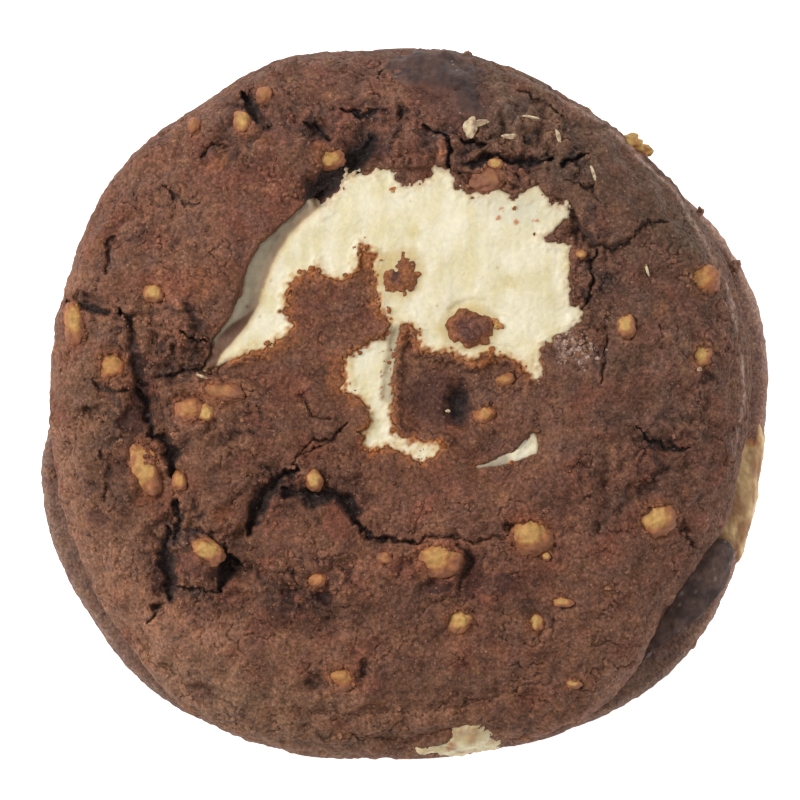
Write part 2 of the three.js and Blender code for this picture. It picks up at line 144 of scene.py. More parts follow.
# Cracks: width, depth, rise of the crust on their left, rise on their right, points.
CRACKS = [
    (1.2, 1.7, 0, 0.3, [(-40.9, 12.4), (-38.4, 11.9), (-36, 11.3)]),
    (1, 1.5, 0.4, 0, [(-34.6, 11.8), (-33.4, 10.4), (-32.8, 8.6)]),
    (2.6, 1, 0.2, 0, [(-33.2, 8.8), (-32.6, 5.6), (-31.6, 2.4)]),
    (1.2, 1.6, 0.2, 0.5, [(-32.4, 2), (-31.4, 0.4), (-30.8, -2), (-30.4, -4.6)]),
    (0.7, 0.9, 0.3, 0.3, [(-31.4, 3), (-29, 3.2), (-27, 4.4), (-24.6, 5)]),
    (1.7, 1.9, 0.4, 0.1, [(-30.4, -4), (-28.9, -4.6), (-28.1, -6.2), (-27.9, -9)]),
    (1.2, 1.8, 0.2, 0, [(-27.4, -11.6), (-27.2, -14.4), (-27.8, -17.2)]),
    (2.3, 1.9, 0.3, 0, [(-28.4, -15.2), (-28.9, -18.4), (-28.3, -21.4), (-28.4, -24.2)]),
    (0.9, 1.4, 0.3, 0, [(-28, -22.4), (-25.6, -22.8), (-22.4, -23.2)]),
    (0.9, 1.3, 0, 0.4, [(-26.8, -15.4), (-24.2, -15.9), (-22.2, -17.6)]),
    (2.8, 2.1, 0, 0.2, [(-21.6, -17.8), (-21.2, -20.2), (-22.2, -22.8)]),
    (1.8, 1.6, 0, 0.2, [(-21.6, -19.2), (-19.2, -19.6)]),
    (1, 1.6, 0.2, 0.2, [(-23.6, 3.8), (-23, 6.6), (-22.2, 9.4)]),
    (0.7, 1.2, 0.3, 0.1, [(-27, 9), (-25.4, 7.6), (-23.8, 7.4)]),
    (0.5, 0.9, 0.1, 0.3, [(-14.2, -8.6), (-12.8, -7), (-10.9, -5.6), (-9, -4.8)]),
    (2.4, 2.3, 0.9, 0.2, [(-13, -7.9), (-14.8, -9.2), (-16.8, -11.6), (-18.8, -16)]),
    (2.5, 2.2, 0.3, 0.9, [(-14.2, -10.7), (-11.2, -11.3), (-8, -11.4), (-6.2, -12.2),
                          (-5.2, -15)]),
    (1, 1.4, 0.7, 0.2, [(-6, -13.4), (-4.6, -15.6), (-2.4, -16.6), (0.8, -16.9), (2.4, -17.2)]),
    (0.7, 0.8, 0.5, 0, [(2.2, -17.3), (3, -16.3), (6.4, -16.4), (9.4, -17), (12.8, -16.2)]),
    (2, 0.9, 0, 0.2, [(7.2, -17.4), (8.2, -18.4), (8, -20.4), (7.2, -22.4)]),
    (1.6, 1.8, 0, 0.3, [(-19.8, 38.6), (-18.6, 36.8), (-17.4, 34.6)]),
    (1.3, 1.6, 0.2, 0.5, [(-11.9, 35), (-10.4, 33.8), (-8.6, 32.4)]),
    (0.7, 1.1, 0, 0.4, [(-24.6, 30.5), (-23, 31.2), (-21.2, 31.7)]),
    (0.5, 1.2, 0.1, 0.2, [(-0.4, 42.8), (-1.8, 41.4), (-3, 40)]),
    (0.8, 2, 0.4, 0, [(2.8, 34), (5.2, 33.5), (6.1, 31.4), (6, 28.6)]),
    (1.3, 2, 0.3, 0, [(7.2, 32.8), (8.8, 32), (10.4, 31.6)]),
    (1.5, 1.9, 0.2, 0.3, [(7.6, 29.4), (9.4, 29.5), (10.6, 30.4), (12.2, 30.6)]),
    (1.1, 2, 0.4, 0.2, [(12, 30.4), (14, 29.6), (16.4, 29.7), (18.8, 30.2)]),
    (1.1, 1.9, 0.5, 0, [(19.8, 29.4), (21.4, 30), (22.8, 30.6)]),
    (1.5, 0.9, 0.7, 0, [(21, 24), (22, 21.4), (23.8, 19.7), (26.2, 19.1), (28.8, 20.4)]),
    (0.7, 0.9, 0.4, 0, [(28.4, 20.4), (29.8, 22), (32.8, 22.6)]),
    (0.9, 1.5, 0.1, 0.3, [(29.2, -2.6), (30.2, -4.4), (32.6, -5.4), (35.4, -5.5)]),
    (0.4, 0.8, 0.2, 0, [(25.4, 8.6), (25.2, 5.4), (24.2, 2)]),
    (1.6, 0.5, 0.3, 0.1, [(22.4, -12), (25.6, -8.6), (29.6, -5.4)]),
    (1.6, 0.5, 0.3, 0.1, [(26.4, -13.8), (30.4, -9.8), (34.6, -5.8)]),
    (0.5, 0.9, 0.2, 0, [(33.4, -15), (35, -15.4), (36.4, -18)]),
    (0.5, 1.1, 0, 0.2, [(-29.2, -25), (-31.2, -26.8)]),
    (0.5, 0.8, 0.3, 0.1, [(14, 38.4), (17.4, 37.4), (20, 35.4)]),
    (0.5, 0.8, 0.2, 0, [(20.4, 27.6), (23.4, 26.4), (25.2, 24.2)]),
    (1.2, 0.9, 0.1, 0.3, [(-35.5, 20.6), (-35.9, 18.4), (-36, 16)]),
    (4.6, 2, 0.2, 0, [(-11.4, 24), (-10.3, 26), (-8.8, 27.4), (-6.6, 28.8), (-4.6, 30.6),
                      (-3.4, 32.4)]),
    (0.9, 1.6, 0.3, 0, [(-28.8, 3.4), (-26.4, 4.2), (-24.6, 4.2), (-22.8, 6.4)]),
    (1.8, 0.8, 0, 0.2, [(-38.4, -0.2), (-38, -1.8)]),
    (0.9, 0.6, 0.3, 0.2, [(-13.2, -19.6), (-12.6, -22.6)]),
    (0.7, 1.1, 0.2, 0.2, [(22.6, 12), (23.6, 14.6), (23.2, 17.4), (24.6, 19)]),
    (0.6, 1, 0.2, 0.1, [(-6.6, -2.6), (-8.4, -4.4), (-11, -4.6), (-12.6, -6.8)]),
    (0.6, 1, 0.1, 0.3, [(-29.4, 27), (-27.2, 25), (-24.6, 24.4)]),
    (0.9, 1.4, 0.2, 0, [(-7.4, 36.2), (-4.6, 35.4), (-2, 36.2)]),
    (1.6, 0.8, 0.3, 0.1, [(-26.4, 12.2), (-25.3, 10.5), (-24, 9.2), (-23.2, 7.4)]),
    (1.4, 0.7, 0.3, 0.1, [(-27.8, 7.2), (-27.8, 4.2)]),
    (1.2, 0.7, 0.1, 0.2, [(-25.5, 8.4), (-24.8, 5.8)]),
    (0.7, 0.7, 0.3, 0.1, [(-12, 1.6), (-11, -1.6), (-8.6, -1.9)]),
    (1.6, 0.9, 0.2, 0.2, [(-37.6, 3), (-36.4, 1.6), (-33.6, 1.4)]),
    (1.4, 0.7, 0.2, 0.1, [(-36.8, -6), (-35.6, -8.8), (-36.4, -11.6)]),
    (1.6, 0.3, 0.4, 0, [(18.6, -34), (10.6, -36.8), (2, -38.2), (-8, -38.4), (-17, -36.4)]),
    (1.4, 0.3, 0.3, 0, [(10, -39.6), (2, -41.2), (-8, -41), (-14, -39.6)]),
    (1.2, 0.4, 0, 0.3, [(-35, -26.6), (-31, -31), (-26, -34.6), (-20, -37.4)]),
]

# Pits and holes: place, half-sizes, turn, depth.
PITS = [
    (-39, 12.9, 1.3, 1.1, 0, 1.7), (-30.1, -25, 0.8, 0.6, 20, 2), (-13.9, -23.3, 1, 1.3, 0, 0.8),
    (-9.6, -23.8, 1.4, 0.9, -20, 0.7), (0.2, 35.9, 0.8, 1, 20, 2),
    (-16.3, 34.1, 0.6, 0.6, 0, 1.2), (-13, 34.7, 0.8, 0.5, 0, 1),
    (24.3, -15.3, 0.5, 0.9, 10, 0.9), (37.6, 3.2, 1.2, 1.1, 0, 1.2),
    (13.5, -15.2, 0.8, 0.7, 0, 1.7), (34.9, -15, 0.7, 1, 20, 1),
    (-10.4, -34.5, 1.6, 1.2, 10, 1.7), (-4.7, -33, 0.9, 1.8, -20, 1.8),
    (7.2, -0.1, 1.8, 2.7, 0, 2.2), (9.6, 27, 2.4, 1.3, 20, 0.8), (-24.8, 5.4, 1.4, 1.4, 30, 1.4),
    (42, -5.6, 0.8, 0.6, 0, 0.8), (18.6, -17.6, 0.8, 0.5, -40, 1),
    (-22.6, -2.4, 0.6, 0.8, 20, 1.2), (3.8, -22, 0.9, 0.5, 20, 0.9),
    (-20.8, -25.2, 2.8, 1.8, 10, 0.8), (-4.4, 31.4, 2, 2.6, -20, 1),
]

# Smooth places: place, half-sizes, turn, sink, colour (0 red-brown glaze, 1 darkest brown:
# painted shade where the place sinks, melted chocolate near the top edge).
SMOOTH_PLACES = [
    (-7.9, -14.6, 1.7, 2.6, 15, -0.2, 0), (-32.8, -2.1, 1.9, 2.1, 5, 1, 0.7),
    (-32.1, 4.6, 0.9, 2.6, 4, 0.5, 0.7), (8.8, -20.8, 1.5, 3, 0, 0.5, 0.65),
    (-23, 28.9, 1.5, 1, 15, 0, 0.1), (-9.9, 31.6, 1.4, 0.8, 0, 0, 0.1),
    (5, 31.4, 0.8, 1.4, 0, 0, 0.1), (-31.4, -11.4, 1.4, 1.2, 0, 0, 0.1),
    (-21.6, -13.4, 1.6, 1, 30, 0, 0.1), (-25.6, -19.8, 2, 1.6, 0, 0, 0.4),
    (-19.6, -7, 0.6, 1.2, -30, 0, 0.1), (-29.6, -21.6, 1, 2.4, -20, 0.4, 0.8),
    (-37, -14, 1.4, 1, 0, 0.2, 0.5), (6.5, -3.4, 1.4, 0.8, 0, 0.1, 0.1),
    (4.6, -22.6, 2, 1, 10, 0.3, 0.8), (12.6, -22, 1.2, 1.6, 0, 0.1, 0.7),
    (4.6, 0.6, 3.8, 3.8, 20, 0.5, 0.6), (-31.7, 1, 1.3, 2, 0, 0.5, 0.8),
    (-8.6, 26.4, 2.8, 1.6, 40, 0.5, 0.6), (7.2, -0.1, 1.5, 2.5, 0, 0.2, 1),
    (-13.9, -23.5, 0.9, 1.2, 0, 0.2, 0.9), (-9.6, -23.8, 1.3, 0.8, -20, 0.2, 0.9),
    (6.2, 38.6, 6.6, 4.2, -35, 0, 0.55), (-3.4, 31.4, 1.2, 1.8, -20, 0.4, 0.7),
    (-15.8, 33, 1.4, 1.6, 0, 0.2, 0.5), (3.4, 38, 2, 1.4, 0, 0.2, 0.5),
]

# Places where the crust is crumbled: place, half-sizes, turn, how much.
CRUMBLED_PLACES = [
    (-31, 2, 6, 12, 0, 0.8), (-25, -18, 7, 8, 20, 0.7), (-12, -22, 8, 4.6, 0, 0.7),
    (6, 33, 17, 4.6, 0, 0.8), (-26, 8, 4, 5, 0, 0.7), (23.6, 15, 3.4, 10, 0, 0.7),
    (27, -8, 8, 6, 35, 0.45), (-18, 33, 9, 3.6, 20, 0.6), (6, -21, 8, 3.6, 0, 0.5),
    (-20, -2, 5, 3.6, 0, 0.5), (35, -2, 5, 6, 0, 0.4), (-32, 22, 5, 6, 30, 0.35),
    (-36, -9, 4, 7, 0, 0.3),
]
BROKEN_ANYWAY = 0.25  # how much noise adds to that or takes from it

# Places where the crust is toasted to rust: place, half-sizes, turn, how much.
RUSTY_PLACES = [
    (-4.4, 17.4, 1.3, 2.8, 0, 0.9), (-11.8, 15.8, 2.6, 1, 10, 0.8), (-14, 12, 1, 2, 0, 0.7),
    (-3, 12.4, 0.9, 2.6, 10, 0.5), (1.2, 8.4, 1.3, 1.8, 0, 0.7), (10, 5.2, 3.4, 0.9, 0, 0.6),
    (-5.6, 0.4, 1.8, 1.2, 0, 0.6), (-8, 3.4, 1.4, 3, 0, 0.5), (-0.4, -5, 3, 1.2, -30, 0.5),
    (15.6, 5, 2.2, 1.4, -30, 0.5), (-16, 6.4, 5, 0.8, 25, 0.5), (21.8, 7, 2, 1.6, 0, 0.4),
    (-22.4, 29.4, 1.9, 1.3, 10, 0.35), (-16.2, 32.4, 1.6, 1, 0, 0.3),
    (-24.6, 14.8, 2.4, 2.6, 0, 0.3), (-9.8, 31.2, 1.8, 1.2, 0, 0.4),
    (-31.4, -11.4, 1.6, 1.4, 0, 0.35), (-21.6, -13.4, 1.8, 1.2, 30, 0.35),
    (5, 31.4, 0.9, 1.4, 0, 0.35), (-24, 0.2, 4.6, 1.8, -10, 0.35), (32, 12, 1.6, 1.2, 0, 0.35),
]

# Places of painted shade, where the crust is darker, and of painted light, where it is paler
# if below 0: place, half-sizes, turn, how much.
SHADES = [
    (-34, -9.5, 4, 8, 0, 0.22), (-21, -9, 6, 6, 0, 0.2), (-20, -19, 3, 4, 0, 0.4),
    (-10, -8, 6, 7, 0, 0.16), (3, -26, 15, 3.4, 0, 0.3), (5, -34, 9, 3, 0, 0.26),
    (0, -41, 10, 2.4, 0, 0.18), (-37, 2, 5, 6, 0, 0.14), (-27, 22, 13, 10, 40, -0.13),
    (8, 33, 19, 7, -10, -0.26), (20, 26, 12, 6, 0, 0.1), (-30, 5, 2.6, 6, 0, 0.12),
    (3.8, 31.6, 2.2, 2.8, 0, -0.4), (-28, 11, 3, 4, 0, -0.24), (16, -22, 3.4, 5.4, 0, 0.3),
    (-36, -9.5, 2.2, 4, 0, 0.2), (-31.4, -5.6, 1.8, 1.8, 0, 0.2), (-13, -26, 6.4, 2.4, 0, 0.25),
    (-12.4, -15, 4, 3, 0, 0.16), (-4.6, 31, 2.6, 2.8, 0, 0.55),
    (-20.8, 13.5, 1.8, 3.6, -10, 0.22), (28, 5.4, 1.8, 2.2, 0, 0.2), (0, -10, 7, 3, 0, 0.15),
    (-8, 0, 5, 3.4, 0, 0.15), (-28, -27, 10, 6, -45, -0.16), (-32.6, -22, 2.4, 2.6, 0, -0.2),
    (14, -38, 6, 2.6, 10, 0.16), (-4, -38, 6, 1.8, 0, -0.16), (-4, -16, 2.4, 3, 0, 0.18),
    (9.4, 40.6, 5, 2.6, -25, 0.2), (-18.4, 32.6, 4, 3, 20, -0.16),
    (16.8, 33.8, 3.2, 2.4, 0, -0.3), (-35, 19, 4, 4.6, 0, 0.28),
    (-13.6, 20.6, 2.6, 3.6, -30, 0.25), (-24, 6.6, 2.2, 2, 0, 0.2), (-32, -7, 1.6, 3, 0, -0.2),
    (-8.4, -22.2, 1.8, 2, 0, -0.35), (22, 20, 3, 3, 0, -0.2), (28, -8, 3.4, 3.4, 0, -0.2),
    (36, -14, 2.6, 2.6, 0, -0.22), (-20, -26, 3, 2, 0, 0.18), (-24, 17, 3, 3, 0, 0.14),
    (33, 2, 5, 8, 0, -0.2),
]

# Places where the crust is redder, or less red if below 0: place, half-sizes, turn, how much.
REDDER_PLACES = [
    (6, -16, 28, 20, 0, 0.06), (6, -4, 12, 8, 0, -0.04), (18, 34, 16, 7, -35, -0.1),
    (34, 23, 5, 10, 25, -0.12), (-16, -38, 18, 5, -20, -0.08), (-5, 35, 10, 6, 0, 0.05),
    (-12, 21, 16, 9, 40, 0.04), (-38, 2, 4, 12, 0, -0.05),
]

# Where marshmallow is rubbed into the crust: place, half-sizes, turn.
DUSTY_PLACE = (20.9, 6.8, 3.2, 2.6, -30)

# The marshmallow's greyer place, which is painted shade: place, half-sizes, turn, how much.
SHADED_CREAM_PLACE = (14.6, 24.2, 7, 2.4, -6, 0.6)
# Round stains on the pool and at the side: place, size.
YELLOW_STAINS = [(13.4, 15, 1.5), (8.6, 11.8, 1.6), (-7.2, 13.6, 1.4), (1.6, 21, 1.2)]
ORANGE_SPECKS = [(12, 22.8, 0.4), (12.5, 24, 0.4), (14.2, 22.3, 0.4), (16.7, 22.4, 0.4)]
SIDE_STAINS = [(6.3, -42.2, 0.8), (43.4, -4.4, 1.3)]
# Paths of shade and of crumb stains on the pool, and of the chocolate that melted at the top.
PLATE_SIDE = [(-0.5, 8.9), (-1.2, 5.5), (-1.6, 2.5), (-1.7, 0.8)]
WEDGE_LIP = [(9, -7.9), (12.6, -6.9)]
STAINED_PATH = [(-2.1, 7.8), (-2.4, 4), (-2.3, 0.2)]
MELTED_PATH = [(0, 42.2), (4.4, 41.7), (7.6, 40.2), (9.8, 37.8)]

# Ragged patches on the side: direction, place along the foot's section or height on the dome,
# half-sizes, lift, seed, how ragged.
FOOT_STRIP = (-14.4, 5.6, (7.4, 7), 0.16, 342, 0.32)
MARSHMALLOW_PATCHES = [
    (-78.6, 12.0, (4.3, 4.3), 0.0, 345, 0.2),
    (-83.4, 12.6, (3.4, 1.1), 0.1, 347, 0.2),
]
CHOCOLATE_PATCHES = [
    (84.0, 14.4, (7.0, 4.4), 0.02, 430, 0.32),
    (77.0, 17.6, (3.0, 2.4), 0.02, 440, 0.32),
]
# The band of chocolate at the lower right side.
BAND_HALF_SIZES = (10.6, 3.9, 3.2)
BAND_TURN = 58
BAND_PLACE = (34.6, -25.8, 6.4)

# Loose flakes of crust: place, half-sizes, how ragged, how toasted.
FLAKES = {
    "crust_flake_upper": (0.0, 16.0, 2.4, 2.5, 0.6, 0.7),
    "crust_flake_lower": (8.5, 9.3, 2.9, 2.2, 0.35, 0.1),
}
ROUGH_HEIGHT = 20.0  # at which the crust's relief is at its full, for the flakes

# Biscuit bits: place, half-sizes, turn, colour (0 yellow tan, 1 toasted, above 1 glazed).
BITS = [
    (-19.4, 34.5, 0.9, 1.2, 10, 0.2), (-16.7, 37.9, 0.9, 0.9, 0, 1.2),
    (-25.4, 34.2, 0.7, 0.9, 0, 1.2), (-8.7, 29.9, 1.5, 1.1, 10, 0.4),
    (-30.3, 13.5, 1.1, 0.95, 0, 0.2), (-40.1, 9.8, 1.1, 2.2, 4, 0.4),
    (-35.4, 4.6, 1.8, 1.8, 0, 0.8), (-23.8, -1.3, 0.9, 1, 0, 0.1),
    (-25.8, -0.9, 1.6, 1.3, 10, 1.1), (-22, 1.4, 2.4, 1, -8, 1.2), (-31.3, -8.2, 1.6, 3, 12, 0.4),
    (-27.1, -9.5, 0.8, 1.1, 0, 0.6), (-23.6, -18.2, 1.7, 1.2, -25, 0.3),
    (4.5, -19.1, 2.5, 1.9, -12, 0.5), (16, -16.1, 2.3, 2.2, -20, 0.4),
    (31.4, -14.3, 2.1, 1.9, 0, 0.3), (7.3, -26.7, 1.6, 1.4, 10, 0.2),
    (16.6, -27, 0.9, 1.1, 0, 0.3), (17.9, -18.8, 0.45, 0.45, 0, 0.3),
    (-7.2, -33.6, 1.7, 1.3, -15, 0.9), (27.7, 9.5, 0.9, 1.3, 0, 0.1),
    (37, 5.8, 1.1, 1.5, -15, 0.1), (37.2, 15.2, 1.8, 1.6, -10, 0.8),
    (22.2, 18.3, 0.6, 0.5, 0, 0.5), (-10.6, -9.5, 0.9, 1.1, 20, 0.2), (-2, -19, 0.8, 0.7, 0, 1.2),
    (-10.2, -21.7, 0.9, 0.8, 0, 1), (19.8, -24.4, 1.2, 0.5, -10, 0.6),
    (21.3, -34.5, 0.8, 0.5, 0, 0.3), (10.4, -1.4, 1.3, 0.9, 30, 0.8),
    (12.9, 2.9, 1, 0.6, 20, 0.7), (10.8, 27.4, 1.9, 1.3, 10, 1.5),
    (11.7, 29.4, 0.8, 0.6, -20, 0.2),
]

# Loose crumbs at the side and on the pool: place, height, half-size, colour (2 dough).
LOOSE_CRUMBS = [
    (28.2, 32, 9.4, 1.5, 0.2), (30, 31, 8.6, 1, 0.3), (26.6, 33.2, 9, 0.8, 0.2),
    (-43.4, -8.6, 4.2, 0.9, 2), (-42.2, -5.2, 6.4, 0.6, 2), (-22, -39.6, 5.2, 0.7, 2),
    (-13, 42, 8, 0.7, 2), (8.3, 43, 7.6, 0.6, 2), (35.6, -29.4, 3.6, 1, 2),
    (29.4, -35, 3.4, 0.9, 2), (41.4, 17, 5.6, 0.8, 2), (37, 23.6, 6, 0.6, 2),
    (11.9, 9.6, 18.9, 0.75, 1), (4.2, 14.6, 18.9, 0.4, 1), (-0.9, 26.2, 18.4, 0.5, 0.9),
]

# Shreds of marshmallow that lie on the dough: place, half-sizes, turn.
SHREDS = [
    (8.6, 33.9, 0.8, 1.3, 0), (9.6, 34.4, 1.3, 0.4, 15), (13.5, 32.8, 1, 0.35, -5),
    (16, 35.2, 1, 0.16, -10), (19.4, 32.8, 0.25, 0.9, 20), (23.7, 28.3, 0.2, 1, 20),
    (30.3, 16.4, 0.18, 0.7, 15), (-24.3, 3.3, 0.8, 0.2, -20), (5.8, -0.9, 0.3, 0.2, 0),
    (36.7, 4.2, 0.3, 0.25, 0),
]

LARGE_BIT = 1.6  # half-size from which a bit is made of smaller triangles
LARGE_CRUMB = 0.19  # the same for a crumb
BIT_SUNK = 0.68  # how far a bit's middle lies under the crust, as a share of its half-size
BIT_ROUGHNESS, CRUMB_ROUGHNESS, SHRED_ROUGHNESS = 0.19, 0.5, 0.32
# How many crumbs lie on the crust, by the biscuit bits, in the dusty place and on the pool.
CRUST_CRUMBS, BIT_CRUMBS, DUSTY_CRUMBS, POOL_CRUMBS = 3000, 500, 60, 160

PICTURE_WIDTH = 98.8  # of the view at the cookie
CAMERA_DISTANCE = 2000.0
CAMERA_SHIFT = (-0.06, 0.43)  # of the picture's middle from the outlines' middle
SENSOR = 36.0
FLOOR_HALF = 900.0
WORLD_STRENGTH = 0.42
WHITE = (1.0, 1.0, 1.0, 1.0)
DARKEST = 0.004  # of any channel of a colour
# Area lights, which face the cookie: name, place, size, power, colour.
LIGHTS = [
    ("key", (-420, 150, 420), 260, 2.5, (1.0, 1.0, 1.0)),
    ("fill", (380, 220, 240), 300, 0.5, (0.94, 1.0, 1.06)),
    ("top", (60, 60, 700), 500, 0.6, (1.0, 1.0, 1.0)),
]

DOUGH_SPACING = 0.21  # between the dough mesh's points before it is simplified
DOUGH_FACES = 196_000
POOL_SPACING = 0.2
POOL_FACES = 90_000
PATCH_SPACING = 0.16
FLAKE_SPACING = 0.12
MEAN_RADIUS = 44.0  # turns shares of the radius and angles into rough lengths

# ---- Colours -----------------------------------------------------------------------------


def linear(red, green, blue):
    """A linear colour from display values of 0 to 255."""
    c = np.array([red, green, blue]) / 255.0
    return np.where(c <= 0.04045, c / 12.92, ((c + 0.055) / 1.055) ** 2.4)


def mix(a, b, share):
    share = np.clip(share, 0.0, 1.0)[:, None]
    return a * (1.0 - share) + b * share


def layered(colour, *layers):
    """The colour with other colours mixed over it by their shares, one after the other."""
    for tint, share in layers:
        colour = mix(colour, tint, share)
    return colour


BROWN = linear(109, 71, 54)
DARK_BROWN = linear(90, 58, 46)
LIGHT_BROWN = linear(136, 98, 76)
RED_BROWN = linear(120, 73, 56)
GREY_BROWN = linear(102, 73, 60)
TAN_BROWN = linear(140, 98, 70)
# Painted shade for the sunk smooth places, and melted chocolate near the top edge.
CHOCOLATE_AND_SHADE = linear(62, 44, 40)
RUST = linear(158, 98, 58)
# Pale marshmallow dust, and the painted highlight along the dome's right edge.
DUST_AND_HIGHLIGHT = linear(176, 146, 130)
# Painted shade for the cracks, the pits and the valleys of broken crust.
CREVICE_SHADE = linear(60, 49, 46)
SUGAR = linear(200, 164, 140)
FOOT_LIGHT, FOOT_DARK = linear(122, 98, 84), linear(104, 80, 72)
FLAKE_LIGHT, FLAKE_DARK = linear(120, 80, 68), linear(88, 58, 50)

CREAM = linear(237, 227, 199)
BUTTER = linear(224, 211, 168)
CREAM_IN_SHADE = linear(212, 204, 178)
HONEY = linear(214, 194, 132)
PALE_HONEY = linear(226, 210, 158)
OLIVE = linear(186, 172, 112)
TOAST = linear(214, 178, 118)
BURNT = linear(160, 96, 52)
HALO = linear(206, 178, 118)
RIDGE_TAN = linear(204, 170, 118)
# Painted shade on the marshmallow under the lip, and its brown mottle.
LIP_SHADE_LIGHT, LIP_SHADE_DARK = linear(194, 180, 152), linear(140, 112, 84)
LIP_SHADE_BROWN = linear(112, 84, 60)
COCOA, COCOA_SPOT = linear(98, 58, 34), linear(104, 72, 50)
PLATE_SHADE, SLIVER_SHADE = linear(180, 164, 132), linear(150, 134, 114)
STAIN, ORANGE = linear(170, 100, 58), linear(190, 108, 50)
PATCH_LIGHT, PATCH_DARK = linear(222, 206, 164), linear(184, 150, 106)
STRIP_LIGHT, STRIP_DARK = linear(218, 184, 132), linear(164, 120, 82)
STRIP_STREAK = linear(158, 108, 66)
SHRED_LIGHT, SHRED_DARK = linear(216, 196, 158), linear(158, 122, 98)

BAND_LIGHT, BAND_DARK, BAND_DOT = linear(98, 76, 68), linear(70, 54, 51), linear(150, 136, 128)
SMEAR_LIGHT, SMEAR_DARK, SMEAR_DOT = linear(86, 65, 58), linear(64, 50, 48), linear(190, 172, 162)

YELLOW_TAN = linear(196, 156, 88)
TOASTED = linear(170, 104, 56)
GLAZE = linear(136, 86, 60)  # dough baked over a biscuit bit
TOASTED_CRUMB = linear(170, 104, 58)

# ---- Noise -------------------------------------------------------------------------------

GRADIENTS = np.random.default_rng(11).normal(size=(64, 3))
GRADIENTS /= np.linalg.norm(GRADIENTS, axis=1, keepdims=True)
NOISE_GAIN = 1.7  # brings gradient noise to a range of about -1 to 1
# Large odd numbers that mix the bits of a hash well.
AXIS_FACTORS = (0x9E3779B1, 0x85EBCA77, 0xC2B2AE3D)
SEED_FACTOR = 0x27D4EB2F
MIX_FACTORS = (0x2C1B3C6D, 0x297A2D39)


def smoothstep(low, high, value):
    t = np.clip((value - low) / (high - low), 0.0, 1.0)
    return t * t * (3.0 - 2.0 * t)


def lattice_hash(cell, seed):
    """A well mixed 32-bit number for each cell of a cubic lattice."""
    bits = np.full(len(cell), (seed * SEED_FACTOR) & 0xFFFFFFFF, np.uint32)
    for axis, factor in enumerate(AXIS_FACTORS):
        bits ^= cell[:, axis].astype(np.int64).astype(np.uint32) * np.uint32(factor)
    for shift, factor in zip((15, 12), MIX_FACTORS):
        bits ^= bits >> np.uint32(shift)
        bits *= np.uint32(factor)
    return bits ^ (bits >> np.uint32(15))


def noise(points, scale, seed):
    """Gradient noise from about -1 to 1, with features about as large as scale."""
    scaled = points / scale
    cell = np.floor(scaled)
    within = scaled - cell
    fade = within * within * within * (within * (within * 6.0 - 15.0) + 10.0)
    total = np.zeros(len(scaled))
    for corner in product((0, 1), repeat=3):
        corner = np.array(corner)
        gradient = GRADIENTS[lattice_hash(cell + corner, seed) & np.uint32(63)]
        weight = np.where(corner, fade, 1.0 - fade).prod(axis=1)
        total += weight * ((within - corner) * gradient).sum(axis=1)
    return total * NOISE_GAIN


def fbm(points, scale, octaves, seed):
    """Noise with finer and weaker noise added to it."""
    return sum(0.5**i * noise(points, scale / 2.0**i, seed + i) for i in range(octaves))


def patches(points, scale, seed, low, high):
    """Noise as patches: 0 where it is below low, 1 where it is above high."""
    return smoothstep(low, high, noise(points, scale, seed))


def grains(points, scale, seed):
    """For points scattered about scale apart: the distance to the nearest one, as a share of
    scale, and a random share of 0 to 1 that it owns."""
    scaled = points / scale
    cell = np.floor(scaled)
    within = scaled - cell
    nearest = np.full(len(scaled), 9.0)
    own = np.zeros(len(scaled))
    for offset in product((-1, 0, 1), repeat=3):
        offset = np.array(offset)
        bits = lattice_hash(cell + offset, seed)
        jitter = np.stack([(bits >> np.uint32(s)) & np.uint32(1023) for s in (0, 10, 20)], axis=1)
        away = np.linalg.norm(offset + jitter / 1023.0 - within, axis=1)
        own = np.where(away < nearest, (bits & np.uint32(255)) / 255.0, own)
        nearest = np.minimum(nearest, away)
    return nearest, own


def dots(points, spacing, seed, outer, inner):
    """Scattered round dots: 1 up to inner and 0 from outer on, as shares of their spacing."""
    return smoothstep(outer, inner, grains(points, spacing, seed)[0])


# ---- Plane figures -----------------------------------------------------------------------


def outline_radius(pairs, degrees):
    """Radius of a closed smooth outline in each direction."""
    angle, radius = np.array(pairs, float).T
    angle = np.concatenate([angle[-2:] - 360.0, angle, angle[:3] + 360.0])
    radius = np.concatenate([radius[-2:], radius, radius[:3]])
    slope = np.gradient(radius, angle)
    wanted = np.mod(degrees, 360.0)
    k = np.searchsorted(angle, wanted, side="right") - 1
    width = angle[k + 1] - angle[k]
    share = (wanted - angle[k]) / width
    rise = share * share * (3.0 - 2.0 * share)
    bend = width * share * (1.0 - share) * ((1.0 - share) * slope[k] - share * slope[k + 1])
    return radius[k] * (1.0 - rise) + radius[k + 1] * rise + bend


def polar(radius, degrees):
    angle = np.radians(degrees)
    return np.stack([radius * np.cos(angle), radius * np.sin(angle)], axis=-1)


def bearing(points):
    return np.degrees(np.arctan2(points[:, 1], points[:, 0]))


def outline_middle():
    """Middle of the plan's box, which is the part's origin."""
    degrees = np.arange(0.0, 360.0, 0.25)
    plan = np.concatenate([polar(outline_radius(outline, degrees), degrees)
                           for outline in (FOOT_OUTLINE, DOME_OUTLINE)])
    return np.array([*(plan.min(axis=0) + plan.max(axis=0)) / 2.0, 0.0])


def near_points(xy, corners, reach):
    """Which points lie in the corners' box, grown by reach."""
    low, high = np.min(corners, axis=0) - reach, np.max(corners, axis=0) + reach
    return np.nonzero(((xy > low) & (xy < high)).all(axis=1))[0]


